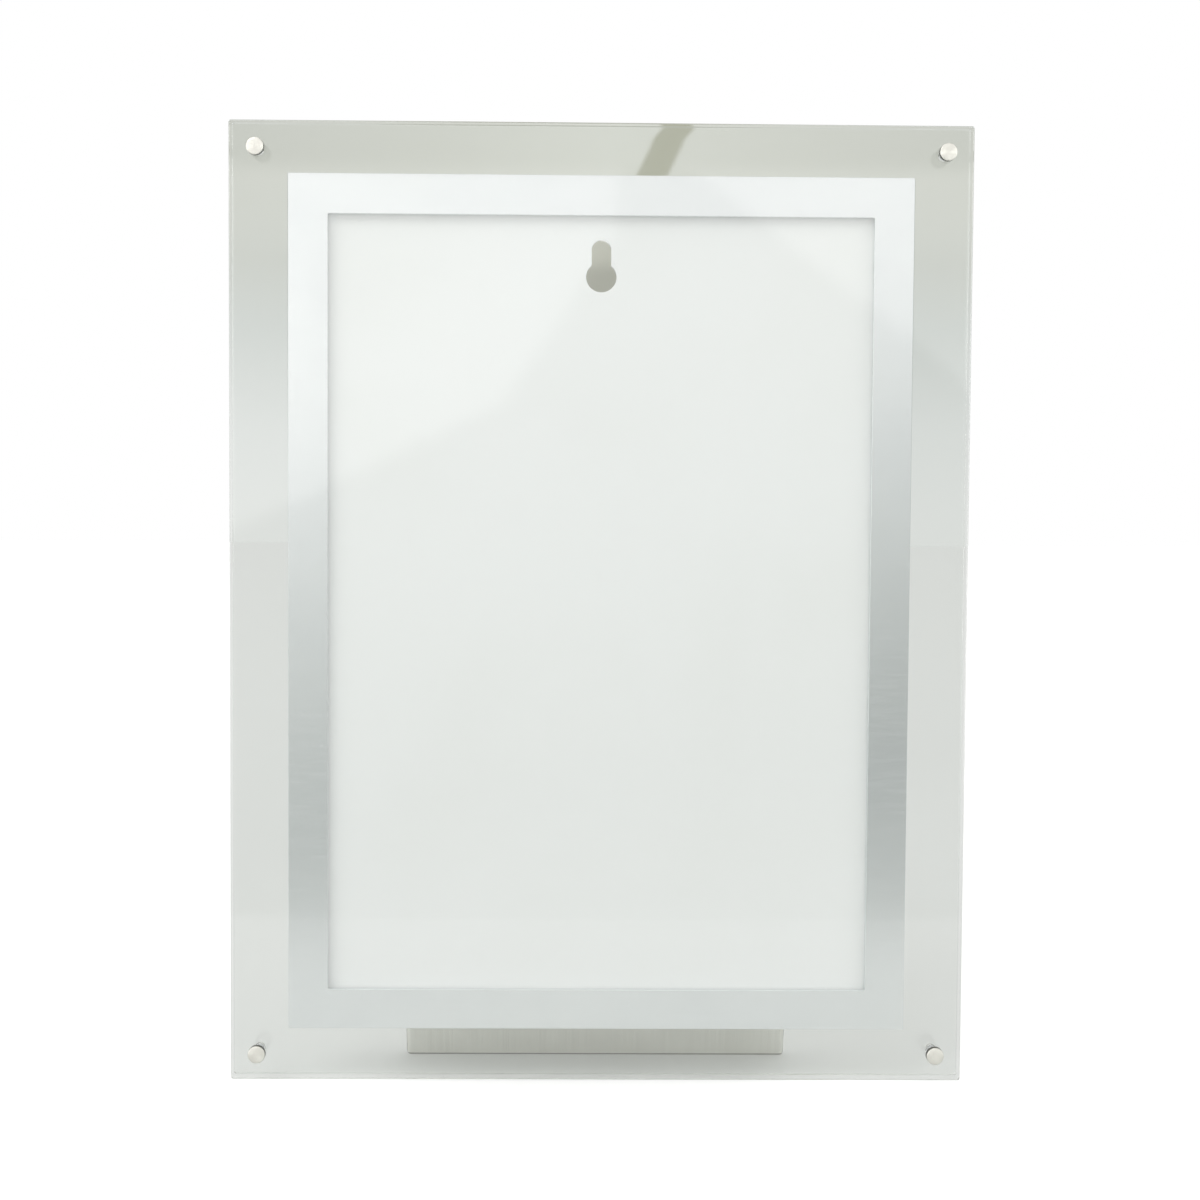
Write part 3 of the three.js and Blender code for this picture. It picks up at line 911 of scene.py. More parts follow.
class TurnedTree(GeometryTree):
    """A piece turned about the depth axis, from a profile of (radius, depth) points from front to back."""

    UV_NAME = "Turning"
    UV_LENGTH = 20 * MM
    SIDES = 64
    WELD = 0.0005 * MM

    def __init__(
        self,
        name: str,
        sizes: dict[str, float],
        profile: Callable[[Callable[[str], Value]], list[Any]],
        hexagon: Hexagon = Hexagon.NONE,
    ) -> None:
        """Builds the tree.

        Args:
            name: The tree's name.
            sizes: Its named sizes. A hexagon reads Across Flats, Hexagon Front and Hexagon Back.
            profile: Gives the profile's points from the sizes, with at most one thread among them.
            hexagon: What a hexagon does to the turned piece.
        """
        super().__init__(name, sizes)
        self.profile = profile(self.size)
        threads = [part for part in self.profile if isinstance(part, Thread)]
        count = len(self.profile) + sum(2 * thread.turns - 1 for thread in threads)
        sheet = self.add("GeometryNodeMeshGrid", {}, {
            "Size X": 1.0, "Size Y": 1.0, "Vertices X": self.SIDES + 1, "Vertices Y": count,
        })
        spot = self.add("GeometryNodeInputPosition")
        around = (self.part(spot, "X") + 0.5) * math.tau
        step = ((self.part(spot, "Y") + 0.5) * (count - 1)).rounded()
        radius, depth = self.threaded(step, threads[0]) if threads else self.corner(step)
        target = self.vector(radius * around.cosine(), depth, radius * around.sine())
        along = (radius + depth) / self.UV_LENGTH
        lap = self.vector(around / math.tau, along)
        mapped = self.add(
            "GeometryNodeStoreNamedAttribute",
            {"data_type": "FLOAT2", "domain": "CORNER"},
            {"Geometry": sheet, "Name": self.UV_NAME, "Value": lap},
        )
        turned = self.add("GeometryNodeSetPosition", {}, {"Geometry": mapped, "Position": target})
        closed = self.add("GeometryNodeMergeByDistance", {}, {"Geometry": turned, "Distance": self.WELD})
        self.placed(self.cut(closed, hexagon))

    def corner(self, step: Value) -> tuple[Value, Value]:
        """Looks up one of the profile's plain points.

        Args:
            step: The point's number, with the thread's own points left out.

        Returns:
            The radius and depth.
        """
        points = [part for part in self.profile if not isinstance(part, Thread)]
        items = {number + 1: self.vector(radius, depth) for number, (radius, depth) in enumerate(points)}
        settings = {"data_type": "VECTOR", "items": len(points)}
        chosen = self.add("GeometryNodeIndexSwitch", settings, {0: step, **items})
        return self.part(chosen, "X"), self.part(chosen, "Y")

    def threaded(self, step: Value, thread: Thread) -> tuple[Value, Value]:
        """Looks up any of the profile's points.

        Args:
            step: The point's number, with the thread's own points counted.
            thread: The profile's thread.

        Returns:
            The radius and depth.
        """
        first, length = self.profile.index(thread), 2 * thread.turns
        past = step.above(first + length - 0.5)
        inside = step.above(first - 0.5) - past
        radius, depth = self.corner((step - past * length).rounded())
        half_turns = step - first
        crest_here = half_turns.modulo(2.0)
        threaded_radius = crest_here * thread.crest + (1 - crest_here) * thread.root
        threaded_depth = half_turns * thread.pitch / 2 + thread.start
        outside = 1 - inside
        return radius * outside + threaded_radius * inside, depth * outside + threaded_depth * inside

    def cut(self, turned: bpy.types.Node, hexagon: Hexagon) -> bpy.types.Node:
        """Sinks a hexagon into the turned piece, or keeps what lies inside one.

        Args:
            turned: The node that makes the piece.
            hexagon: What the hexagon does.

        Returns:
            The node that makes the finished piece.
        """
        if hexagon is Hexagon.NONE:
            return turned
        front, back = self.size("Hexagon Front"), self.size("Hexagon Back")
        prism = self.add("GeometryNodeMeshCylinder", {}, {
            "Vertices": 6,
            "Radius": self.size("Across Flats") / (2 * HEXAGON_RATIO),
            "Depth": back - front,
        })
        laid = self.add("GeometryNodeTransform", {}, {
            "Geometry": prism,
            "Translation": self.vector(0.0, (front + back) / 2),
            "Rotation": (QUARTER, 0.0, 0.0),
        })
        if hexagon is Hexagon.SOCKET:
            settings = {"operation": "DIFFERENCE", "solver": "EXACT"}
            return self.add("GeometryNodeMeshBoolean", settings, {"Mesh 1": turned, "Mesh 2": laid})
        both = self.add("GeometryNodeMeshBoolean", {"operation": "INTERSECT", "solver": "EXACT"})
        self.feed(both.inputs["Mesh 2"], laid)
        self.feed(both.inputs["Mesh 2"], turned)
        return both


class RolledTree(GeometryTree):
    """A knuckle: the end of a plate rolled round the pin, drawn round the hinge's axis and along x."""

    ARC_POINTS = 40

    def __init__(self, name: str, sizes: dict[str, float]) -> None:
        """Builds the tree.

        Args:
            name: The tree's name.
            sizes: Bore Radius, Thickness, Length, Tail, Roll and Eased Edge. Roll is an angle. A Tail below
                zero goes down to a plate under the knuckle, and one above zero goes up.
        """
        super().__init__(name, sizes)
        middle = self.size("Bore Radius") + self.size("Thickness") / 2
        count = self.ARC_POINTS + 2
        strip = self.add("GeometryNodeMeshLine", {}, {"Count": count})
        number = self.number("GeometryNodeInputIndex")
        angle = math.pi - (number - 1) / self.ARC_POINTS * self.size("Roll")
        rolled = self.vector(0.0, middle * angle.cosine(), middle * angle.sine())
        start = self.vector(0.0, 0 - middle, self.size("Tail"))
        first = self.add("FunctionNodeCompare", {"operation": "LESS_THAN"}, {0: number, 1: 0.5})
        spot = self.add("GeometryNodeSwitch", {"input_type": "VECTOR"}, {"Switch": first})
        self.feed(spot.inputs["False"], rolled)
        self.feed(spot.inputs["True"], start)
        bent = self.add("GeometryNodeSetPosition", {}, {"Geometry": strip, "Position": spot})
        path = self.add("GeometryNodeMeshToCurve", {}, {0: bent})
        flat = {0: path, "Normal": (1.0, 0.0, 0.0)}
        across = self.add("GeometryNodeSetCurveNormal", {"mode": "FREE"}, flat)
        section = self.add("GeometryNodeCurvePrimitiveQuadrilateral", {"mode": "RECTANGLE"}, {
            "Width": self.size("Length"), "Height": self.size("Thickness"),
        })
        softened = self.add("GeometryNodeFilletCurve", {"mode": "POLY"}, {
            "Curve": section, "Radius": self.size("Eased Edge"), "Count": 2,
        })
        swept = self.add("GeometryNodeCurveToMesh", {}, {
            "Curve": across, "Profile Curve": softened, "Fill Caps": True,
        })
        self.placed(swept)


@dataclass(frozen=True)
class Seating:
    """How the leaning frame stands on the ground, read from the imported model's front sheet."""

    lean: float = math.radians(5.0)
    sheet_thickness: float = 3.0 * MM
    edge_chamfer: float = 0.3 * MM

    def matrix(self) -> Matrix:
        """Works out how a piece goes from its upright drawing to its place in the frame.

        Returns:
            The matrix that takes it there.
        """
        low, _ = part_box("front_sheet")
        forward = low.y - self.edge_chamfer * math.sin(self.lean)
        lift = low.z + (self.sheet_thickness - self.edge_chamfer) * math.sin(self.lean)
        return Matrix.Translation((0.0, forward, lift)) @ Matrix.Rotation(-self.lean, 4, "X")


SEATING = Seating().matrix()


def weighted(piece: bpy.types.Object) -> None:
    """Weights normals by the faces' sizes, so that flat faces look flat up to their rounded edges.

    Args:
        piece: The piece, which gets a new mesh under the old one's name.
    """
    modifier = piece.modifiers.new("normals", "WEIGHTED_NORMAL")
    modifier.keep_sharp = True
    graph = bpy.context.evaluated_depsgraph_get()
    plain = piece.data
    name = plain.name
    mesh = bpy.data.meshes.new_from_object(piece.evaluated_get(graph), depsgraph=graph)
    piece.modifiers.clear()
    piece.data = mesh
    bpy.data.meshes.remove(plain)
    mesh.name = name


def settle(
    mesh: bpy.types.Mesh,
    name: str,
    nodes: Sequence[str],
    slot: Slot,
    body: Body = Body.FRAME,
    matrix: Matrix = SEATING,
) -> bpy.types.Object:
    """Makes a piece of a finished mesh.

    Args:
        mesh: The mesh, drawn upright.
        name: The piece's name.
        nodes: The CAD nodes that it stands for.
        slot: The slot of its finish. It is not used.
        body: The body that it rides on.
        matrix: Where the drawing goes.

    Returns:
        The piece, at the origin with its place in its mesh.
    """
    mesh.name = name
    mesh.transform(matrix)
    mesh.update()
    piece = placed_object(name, mesh)
    weighted(piece)
    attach(piece, body.value)
    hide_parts(*nodes)
    LOG.info("%s: %d faces for %s", name, len(piece.data.polygons), ", ".join(nodes))
    return piece


@dataclass
class Stack:
    """The depths and outlines that the frame's layers share."""

    sheet_width: float = 277.0 * MM
    sheet_height: float = 360.0 * MM
    sheet_thickness: float = 3.0 * MM
    sheet_corner: float = 1.0 * MM
    rim_front: float = 3.3 * MM
    rim_shoulder: float = 6.3 * MM
    panel_front: float = 6.6 * MM
    panel_back: float = 8.1 * MM
    back_sheet_front: float = 8.4 * MM
    stud_inset: float = 10.0 * MM
    screw_radius: float = 1.5 * MM
    seat_gap: float = 0.3 * MM

    @property
    def middle(self) -> float:
        """The height of the sheets' middle."""
        return self.sheet_height / 2

    @property
    def back_sheet_back(self) -> float:
        """The depth of the back sheet's rear face."""
        return self.back_sheet_front + self.sheet_thickness

    def stud_places(self) -> Points:
        """Finds the studs.

        Returns:
            Where their axes meet the front face.
        """
        across = self.sheet_width / 2 - self.stud_inset
        up = self.sheet_height / 2 - self.stud_inset
        signs = [corner.value for corner in Corner]
        return [Vector((right * across, 0.0, self.middle + top * up)) for right, top in signs]


@dataclass
class Keyhole:
    """The hole for a wall screw: a round head with a narrower slot above it."""

    head_radius: float = 5.7 * MM
    slot_radius: float = 3.65 * MM
    head_height: float = 303.55 * MM
    slot_height: float = 313.75 * MM
    head_steps: int = 56
    slot_steps: int = 28

    def outline(self) -> Points:
        """Draws the hole.

        Returns:
            Its outline, which runs clockwise.
        """
        neck = math.asin(self.slot_radius / self.head_radius)
        start, end = QUARTER - neck, neck - 3 * QUARTER
        head = arc((0.0, self.head_height), self.head_radius, start, end, self.head_steps)
        slot = arc((0.0, self.slot_height), self.slot_radius, math.pi, 0.0, self.slot_steps)
        return head + slot


@dataclass
class Sheets:
    """The two clear sheets with their studs' holes. The back one has the keyhole and the leaf's holes too."""

    stack: Stack
    keyhole: Keyhole
    leaf_screws: Points
    hole_radius: float = 2.0 * MM
    tapped_radius: float = 1.8 * MM
    hole_chamfer: float = 0.12 * MM
    countersink_mouth: float = 3.2 * MM
    countersink_hole: float = 1.8 * MM
    countersink_flat: float = 0.3 * MM
    eased_edge: float = 0.1 * MM
    spare: float = 0.02 * MM

    def rear(self, front: float) -> float:
        """The depth of a sheet's rear face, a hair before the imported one, as the leaning edge is sharper."""
        return front + self.stack.sheet_thickness - self.spare

    def outer(self, front: float) -> Edge:
        """Draws a sheet's own edge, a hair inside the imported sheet's.

        Args:
            front: The depth of its front.

        Returns:
            The edge.
        """
        stack = self.stack
        width, height = stack.sheet_width - 2 * self.spare, stack.sheet_height - 2 * self.spare
        outline = rectangle(width, height, stack.sheet_corner, stack.middle)
        return Edge(outline, eased(front, self.rear(front), self.eased_edge, 2))

    def stud_holes(self, front: float, radius: float) -> list[Edge]:
        """Draws a sheet's holes for the studs.

        Args:
            front: The depth of the sheet's front.
            radius: The holes' radius.

        Returns:
            Their edges.
        """
        profile = eased(front, self.rear(front), self.hole_chamfer)
        places = self.stack.stud_places()
        return [Edge(circle((place.x, place.z), radius), profile) for place in places]

    def countersinks(self) -> list[Edge]:
        """Draws the leaf's screw holes, wide in front for the screws' heads.

        Returns:
            Their edges.
        """
        front = self.stack.back_sheet_front
        flare = self.countersink_mouth - self.countersink_hole
        mouth = front + self.countersink_flat
        profile = [(flare, front), (flare, mouth), (0.0, mouth + flare), (0.0, self.rear(front))]
        hole = self.countersink_hole
        return [Edge(circle((place.x, place.z), hole), profile) for place in self.leaf_screws]

    def build(self, finishes: Finishes) -> None:
        """Makes both sheets.

        Args:
            finishes: The materials.
        """
        front_pane = Solid()
        front_pane.plate([self.outer(0.0), *self.stud_holes(0.0, self.hole_radius)])
        mesh = front_pane.mesh("front_pane", finishes.acrylic)
        settle(mesh, "front_pane", ["front_sheet"], Slot.ACRYLIC)
        front = self.stack.back_sheet_front
        slot = Edge(self.keyhole.outline(), eased(front, self.rear(front), self.eased_edge, 2))
        back_pane = Solid()
        tapped = self.stud_holes(front, self.tapped_radius)
        back_pane.plate([self.outer(front), slot, *tapped, *self.countersinks()])
        settle(back_pane.mesh("back_pane", finishes.acrylic), "back_pane", ["back_sheet"], Slot.ACRYLIC)


@dataclass
class Window:
    """The rim round the poster, and the white panel in its rebate."""

    stack: Stack
    keyhole: Keyhole
    width: float = 204.0 * MM
    height: float = 292.0 * MM
    strip: float = 15.0 * MM
    lip: float = 1.5 * MM
    corner: float = 0.6 * MM
    chamfer: float = 0.25 * MM
    rebate_corner: float = 0.2 * MM
    panel_edge: float = 0.15 * MM

    def rim(self, finishes: Finishes) -> None:
        """Makes the rim: flat strips with a lip behind them round the panel.

        Args:
            finishes: The materials.
        """
        stack = self.stack
        width, height, lips = self.width + 2 * self.strip, self.height + 2 * self.strip, 2 * self.lip
        solid = Solid()
        outside = rectangle(width, height, self.corner, stack.middle)
        window = rectangle(self.width, self.height, self.corner, stack.middle)[::-1]
        rebate = rectangle(width - lips, height - lips, self.rebate_corner, stack.middle)[::-1]
        outer, inner, rear = solid.walls([
            Edge(outside, eased(stack.rim_front, stack.panel_back, self.chamfer, 3)),
            Edge(window, eased(stack.rim_front, stack.rim_shoulder, self.chamfer, 3)),
            Edge(rebate, [(0.0, stack.rim_shoulder), (0.0, stack.panel_back)]),
        ])
        (outer_front, outer_back), (window_front, window_back) = outer, inner
        rebate_front, rebate_back = rear
        solid.cap([outer_front, window_front], FORWARD)
        solid.cap([rebate_front, window_back], BACKWARD)
        solid.cap([outer_back, rebate_back], BACKWARD)
        settle(solid.mesh("window_rim", finishes.aluminium), "window_rim", ["rim_frame"], Slot.ALUMINIUM)

    def panel(self, finishes: Finishes) -> None:
        """Makes the white panel with its keyhole.

        Args:
            finishes: The materials.
        """
        stack = self.stack
        spare = 2 * (self.lip + stack.seat_gap)
        width = self.width + 2 * self.strip - spare
        height = self.height + 2 * self.strip - spare
        profile = eased(stack.panel_front, stack.panel_back, self.panel_edge, 2)
        solid = Solid()
        solid.plate([
            Edge(rectangle(width, height, self.corner, stack.middle), profile),
            Edge(self.keyhole.outline(), profile),
        ])
        settle(solid.mesh("white_panel", finishes.plastic), "white_panel", ["back_panel"], Slot.PLASTIC)

    def build(self, finishes: Finishes) -> None:
        """Makes the rim and the panel."""
        self.rim(finishes)
        self.panel(finishes)


@dataclass
class Studs:
    """The corner studs: a cap in front, on a headless screw that is tapped into the back sheet."""

    stack: Stack
    cap_radius: float = 3.25 * MM
    cap_height: float = 2.8 * MM
    cap_chamfer: float = 0.3 * MM
    cap_face: float = 0.9 * MM
    bore_radius: float = 1.8 * MM
    tip_chamfer: float = 0.3 * MM
    thread_pitch: float = 0.5 * MM
    thread_depth: float = 0.27 * MM
    thread_turns: int = 25
    socket_width: float = 1.5 * MM
    socket_depth: float = 2.0 * MM
    burr: float = 0.06 * MM

    @property
    def cap_front(self) -> float:
        """The depth of the caps' faces."""
        return -self.stack.seat_gap - self.cap_height

    def caps(self) -> TurnedTree:
        """The caps in front: a flat face with a rounded edge, a plain side and a blind hole behind.

        Returns:
            The tree that makes them.
        """
        sizes = {
            "Radius": self.cap_radius,
            "Front": self.cap_front,
            "Back": -self.stack.seat_gap,
            "Chamfer": self.cap_chamfer,
            "Bore": self.bore_radius,
            "Face": self.cap_face,
            "Burr": self.burr,
        }

        def profile(size: Callable[[str], Value]) -> list[Any]:
            """A cap's profile.

            Args:
                size: Gives a named size.

            Returns:
                Its points.
            """
            radius, front, back, chamfer = (size(name) for name in ("Radius", "Front", "Back", "Chamfer"))
            bore, face, burr = (size(name) for name in ("Bore", "Face", "Burr"))
            edge = radius - chamfer
            rounded = [
                (edge + chamfer * math.sin(angle), front + chamfer * (1 - math.cos(angle)))
                for angle in ROUNDING
            ]
            return [
                (0.0, front), (edge / 2, front), *rounded, (radius, back - burr), (radius - burr, back),
                (bore + burr, back), (bore, back - burr), (bore, front + face), (0.0, front + face),
            ]

        return TurnedTree("cap", sizes, profile)

    def screws(self) -> TurnedTree:
        """The headless screws, threaded all along, with a hexagon socket in their rear ends.

        Returns:
            The tree that makes them.
        """
        back = self.stack.back_sheet_back
        sizes = {
            "Tip": self.cap_front + self.cap_face + self.stack.seat_gap,
            "Shank": self.stack.screw_radius,
            "Back": back,
            "Chamfer": self.tip_chamfer,
            "Pitch": self.thread_pitch,
            "Thread": self.thread_depth,
            "Across Flats": self.socket_width,
            "Hexagon Front": back - self.socket_depth,
            "Hexagon Back": back + self.socket_depth,
        }

        def profile(size: Callable[[str], Value]) -> list[Any]:
            """A screw's profile.

            Args:
                size: Gives a named size.

            Returns:
                Its points.
            """
            tip, shank, back, chamfer = (size(name) for name in ("Tip", "Shank", "Back", "Chamfer"))
            pitch, thread = size("Pitch"), size("Thread")
            root = shank - thread
            turns = Thread(root, shank, tip + chamfer, pitch, self.thread_turns)
            return [(0.0, tip), (shank - chamfer, tip), turns, (root, back), (0.0, back)]

        return TurnedTree("stud_screw", sizes, profile, Hexagon.SOCKET)

    def build(self, finishes: Finishes) -> None:
        """Makes the four studs, one mesh for all their caps and one for all their screws.

        Args:
            finishes: The materials.
        """
        places = self.stack.stud_places()
        caps = self.caps().bake(places, finishes.nickel)
        settle(caps, "stud_caps", nodes_of("stud_cap", Corner), Slot.NICKEL)
        screws = self.screws().bake(places, finishes.zinc)
        settle(screws, "stud_bolts", nodes_of("stud_screw", Corner), Slot.ZINC)


@dataclass
class Hinge:
    """The hinge on the back sheet: leaf, pin, screws and nuts, and the sizes that the leg shares with it."""

    stack: Stack
    width: float = 148.0 * MM
    height: float = 60.0 * MM
    plate: float = 1.2 * MM
    pin_radius: float = 1.25 * MM
    pin_chamfer: float = 0.3 * MM
    pin_clearance: float = 0.2 * MM
    knuckle_count: int = 5
    knuckle_gap: float = 0.5 * MM
    leaf_height: float = 26.0 * MM
    leaf_corner: float = 4.0 * MM
    screw_height: float = 16.0 * MM
    screw_inset: float = 14.0 * MM
    hole_radius: float = 1.8 * MM
    countersunk_radius: float = 2.9 * MM
    nut_width: float = 5.5 * MM
    nut_height: float = 2.4 * MM
    nut_chamfer: float = 0.35 * MM
    screw_end: float = 0.6 * MM
    thread_pitch: float = 0.5 * MM
    thread_depth: float = 0.27 * MM
    thread_turns: int = 8
    slit: float = 0.25 * MM
    eased_edge: float = 0.12 * MM

    @property
    def bore_radius(self) -> float:
        """The radius of the knuckles' bore."""
        return self.pin_radius + self.pin_clearance

    @property
    def knuckle_radius(self) -> float:
        """The knuckles' outer radius."""
        return self.bore_radius + self.plate

    @property
    def leaf_front(self) -> float:
        """The depth of the leaf's front."""
        return self.stack.back_sheet_back + self.stack.seat_gap

    @property
    def leaf_back(self) -> float:
        """The depth of the leaf's back."""
        return self.leaf_front + self.plate

    @property
    def knuckle_length(self) -> float:
        """The length of one knuckle."""
        return (self.width + self.knuckle_gap) / self.knuckle_count - self.knuckle_gap

    @property
    def clearance(self) -> float:
        """How far from the axis a plate ends where it meets the other half's knuckles."""
        return self.knuckle_radius + self.knuckle_gap

    def axis(self) -> Matrix:
        """Takes a drawing round the hinge's axis to its place in the upright frame."""
        return Matrix.Translation((0.0, self.leaf_front + self.knuckle_radius, self.height))

    def knuckles(self, on_leg: bool) -> Points:
        """Finds one half's knuckles.

        Args:
            on_leg: Whether they are the leg's or the leaf's.

        Returns:
            Their middles, along the axis.
        """
        pitch = self.knuckle_length + self.knuckle_gap
        first = -(self.knuckle_count - 1) * pitch / 2
        numbers = range(int(on_leg), self.knuckle_count, 2)
        return [Vector((first + number * pitch, 0.0, 0.0)) for number in numbers]

    def screw_places(self) -> Points:
        """Finds the screws.

        Returns:
            Where their axes meet the front face.
        """
        across = self.width / 2 - self.screw_inset
        height = self.height + self.screw_height
        return [Vector((side.value * across, 0.0, height)) for side in Side]

    def rolled(self, name: str, tail: float) -> RolledTree:
        """One half's knuckles.

        Args:
            name: The tree's name.
            tail: How far the plate's edge lies above or below the axis.

        Returns:
            The tree that makes them.
        """
        slit_angle = math.acos((self.bore_radius - self.slit) / self.knuckle_radius)
        roll = 2 * math.pi - slit_angle
        return RolledTree(name, {
            "Bore Radius": self.bore_radius,
            "Thickness": self.plate,
            "Length": self.knuckle_length,
            "Tail": tail,
            "Roll": math.copysign(roll, -tail),
            "Eased Edge": self.eased_edge,
        })

    def leaf(self, finishes: Finishes) -> None:
        """Makes the leaf: a plate with round upper corners and three rolled knuckles.

        Args:
            finishes: The materials.
        """
        solid = Solid()
        half = self.width / 2
        centre = half - self.leaf_corner
        top = self.leaf_height - self.leaf_corner
        outline = [Vector((-half, self.clearance)), Vector((half, self.clearance))]
        outline += arc((centre, top), self.leaf_corner, 0.0, QUARTER, 16)
        outline += arc((-centre, top), self.leaf_corner, QUARTER, math.pi, 16)
        front, back = -self.knuckle_radius, -self.bore_radius
        profile = eased(front, back, self.eased_edge, 2)
        holes = [
            Edge(circle((place.x, self.screw_height), self.hole_radius), profile)
            for place in self.screw_places()
        ]
        solid.plate([Edge(outline, profile), *holes])
        plate = solid.mesh("leaf_plate", finishes.steel)
        knuckles = self.rolled("leaf_knuckle", self.clearance).bake(self.knuckles(False), finishes.steel)
        mesh = joined("leaf_plate", [plate, knuckles])
        settle(mesh, "leaf_plate", ["hinge_leaf"], Slot.STEEL, matrix=SEATING @ self.axis())

    def pin(self, finishes: Finishes) -> None:
        """Makes the pin, with its ends rounded over.

        Args:
            finishes: The materials.
        """
        sizes = {"Radius": self.pin_radius, "Half": self.width / 2, "Chamfer": self.pin_chamfer}

        def profile(size: Callable[[str], Value]) -> list[Any]:
            """The pin's profile.

            Args:
                size: Gives a named size.

            Returns:
                Its points.
            """
            radius, half, chamfer = size("Radius"), size("Half"), size("Chamfer")
            start = [
                (radius - chamfer * (1 - math.sin(angle)), chamfer * (1 - math.cos(angle)) - half)
                for angle in ROUNDING
            ]
            end = [
                (radius - chamfer * (1 - math.cos(angle)), half - chamfer * (1 - math.sin(angle)))
                for angle in ROUNDING
            ]
            return [(0.0, 0 - half), *start, *end, (0.0, half)]

        tree = TurnedTree("pin", sizes, profile)
        mesh = tree.bake([Vector((0.0, 0.0, 0.0))], finishes.zinc)
        mesh.transform(Matrix.Rotation(-QUARTER, 4, "Z"))
        settle(mesh, "hinge_rod", ["hinge_pin"], Slot.ZINC, matrix=SEATING @ self.axis())

    def screws(self, finishes: Finishes) -> None:
        """Makes the countersunk screws, with threads where their ends stand out of the nuts.

        Args:
            finishes: The materials.
        """
        gap = self.stack.seat_gap
        sizes = {
            "Head": self.countersunk_radius,
            "Shank": self.stack.screw_radius,
            "Front": self.stack.back_sheet_front + gap,
            "End": self.leaf_back + gap + self.nut_height + self.screw_end,
            "Pitch": self.thread_pitch,
            "Thread": self.thread_depth,
        }

        def profile(size: Callable[[str], Value]) -> list[Any]:
            """A screw's profile.

            Args:
                size: Gives a named size.

            Returns:
                Its points.
            """
            head, shank, front = size("Head"), size("Shank"), size("Front")
            end, pitch, root = size("End"), size("Pitch"), size("Shank") - size("Thread")
            turns = self.thread_turns
            threads = Thread(root, shank, end - pitch * (turns + 0.5), pitch, turns)
            cone = front + head - shank
            start = end - pitch * (turns + 1)
            return [
                (0.0, front), (head, front), (shank, cone), (shank, start), threads,
                (root, end - pitch / 2), (root - pitch / 4, end), (0.0, end),
            ]

        tree = TurnedTree("hinge_screw", sizes, profile)
        mesh = tree.bake(self.screw_places(), finishes.zinc)
        settle(mesh, "hinge_bolts", nodes_of("hinge_screw", Side), Slot.ZINC)

    def nuts(self, finishes: Finishes) -> None:
        """Makes the nuts: hexagons with their outer corners turned down, and a countersunk bore.

        Args:
            finishes: The materials.
        """
        front = self.leaf_back + self.stack.seat_gap
        sizes = {
            "Corner": self.nut_width / 2 / HEXAGON_RATIO,
            "Bore": self.hole_radius,
            "Front": front,
            "Back": front + self.nut_height,
            "Chamfer": self.nut_chamfer,
            "Spare": 1.0 * MM,
            "Across Flats": self.nut_width,
            "Hexagon Front": front,
            "Hexagon Back": front + self.nut_height,
        }

        def profile(size: Callable[[str], Value]) -> list[Any]:
            """A nut's profile before its flats are cut, which closes on itself.

            Args:
                size: Gives a named size.

            Returns:
                Its points.
            """
            corner, bore, spare = size("Corner"), size("Bore"), size("Spare")
            start, end, chamfer = size("Front"), size("Back"), size("Chamfer")
            wide = corner + spare
            sunk = chamfer / 2
            return [
                (bore, start - spare), (wide, start - spare), (wide, end - chamfer - spare * 0.58),
                (corner - chamfer, end), (corner - chamfer, end + spare), (bore + sunk + spare, end + spare),
                (bore, end - sunk), (bore, start - spare),
            ]

        tree = TurnedTree("hinge_nut", sizes, profile, Hexagon.OUTSIDE)
        mesh = tree.bake(self.screw_places(), finishes.zinc)
        settle(mesh, "hinge_hexagons", nodes_of("hinge_nut", Side), Slot.ZINC)

    def build(self, finishes: Finishes) -> None:
        """Makes the hinge's fixed half.

        Args:
            finishes: The materials.
        """
        self.leaf(finishes)
        self.pin(finishes)
        self.screws(finishes)
        self.nuts(finishes)


def joined(name: str, meshes: Sequence[bpy.types.Mesh]) -> bpy.types.Mesh:
    """Joins meshes that share their material.

    Args:
        name: The new mesh's name.
        meshes: The meshes, which are used up.

    Returns:
        The one mesh.
    """
    objects = [placed_object(mesh.name, mesh) for mesh in meshes]
    with bpy.context.temp_override(active_object=objects[0], selected_editable_objects=objects):
        bpy.ops.object.join()
    mesh = objects[0].data
    bpy.data.objects.remove(objects[0])
    mesh.name = name
    return mesh


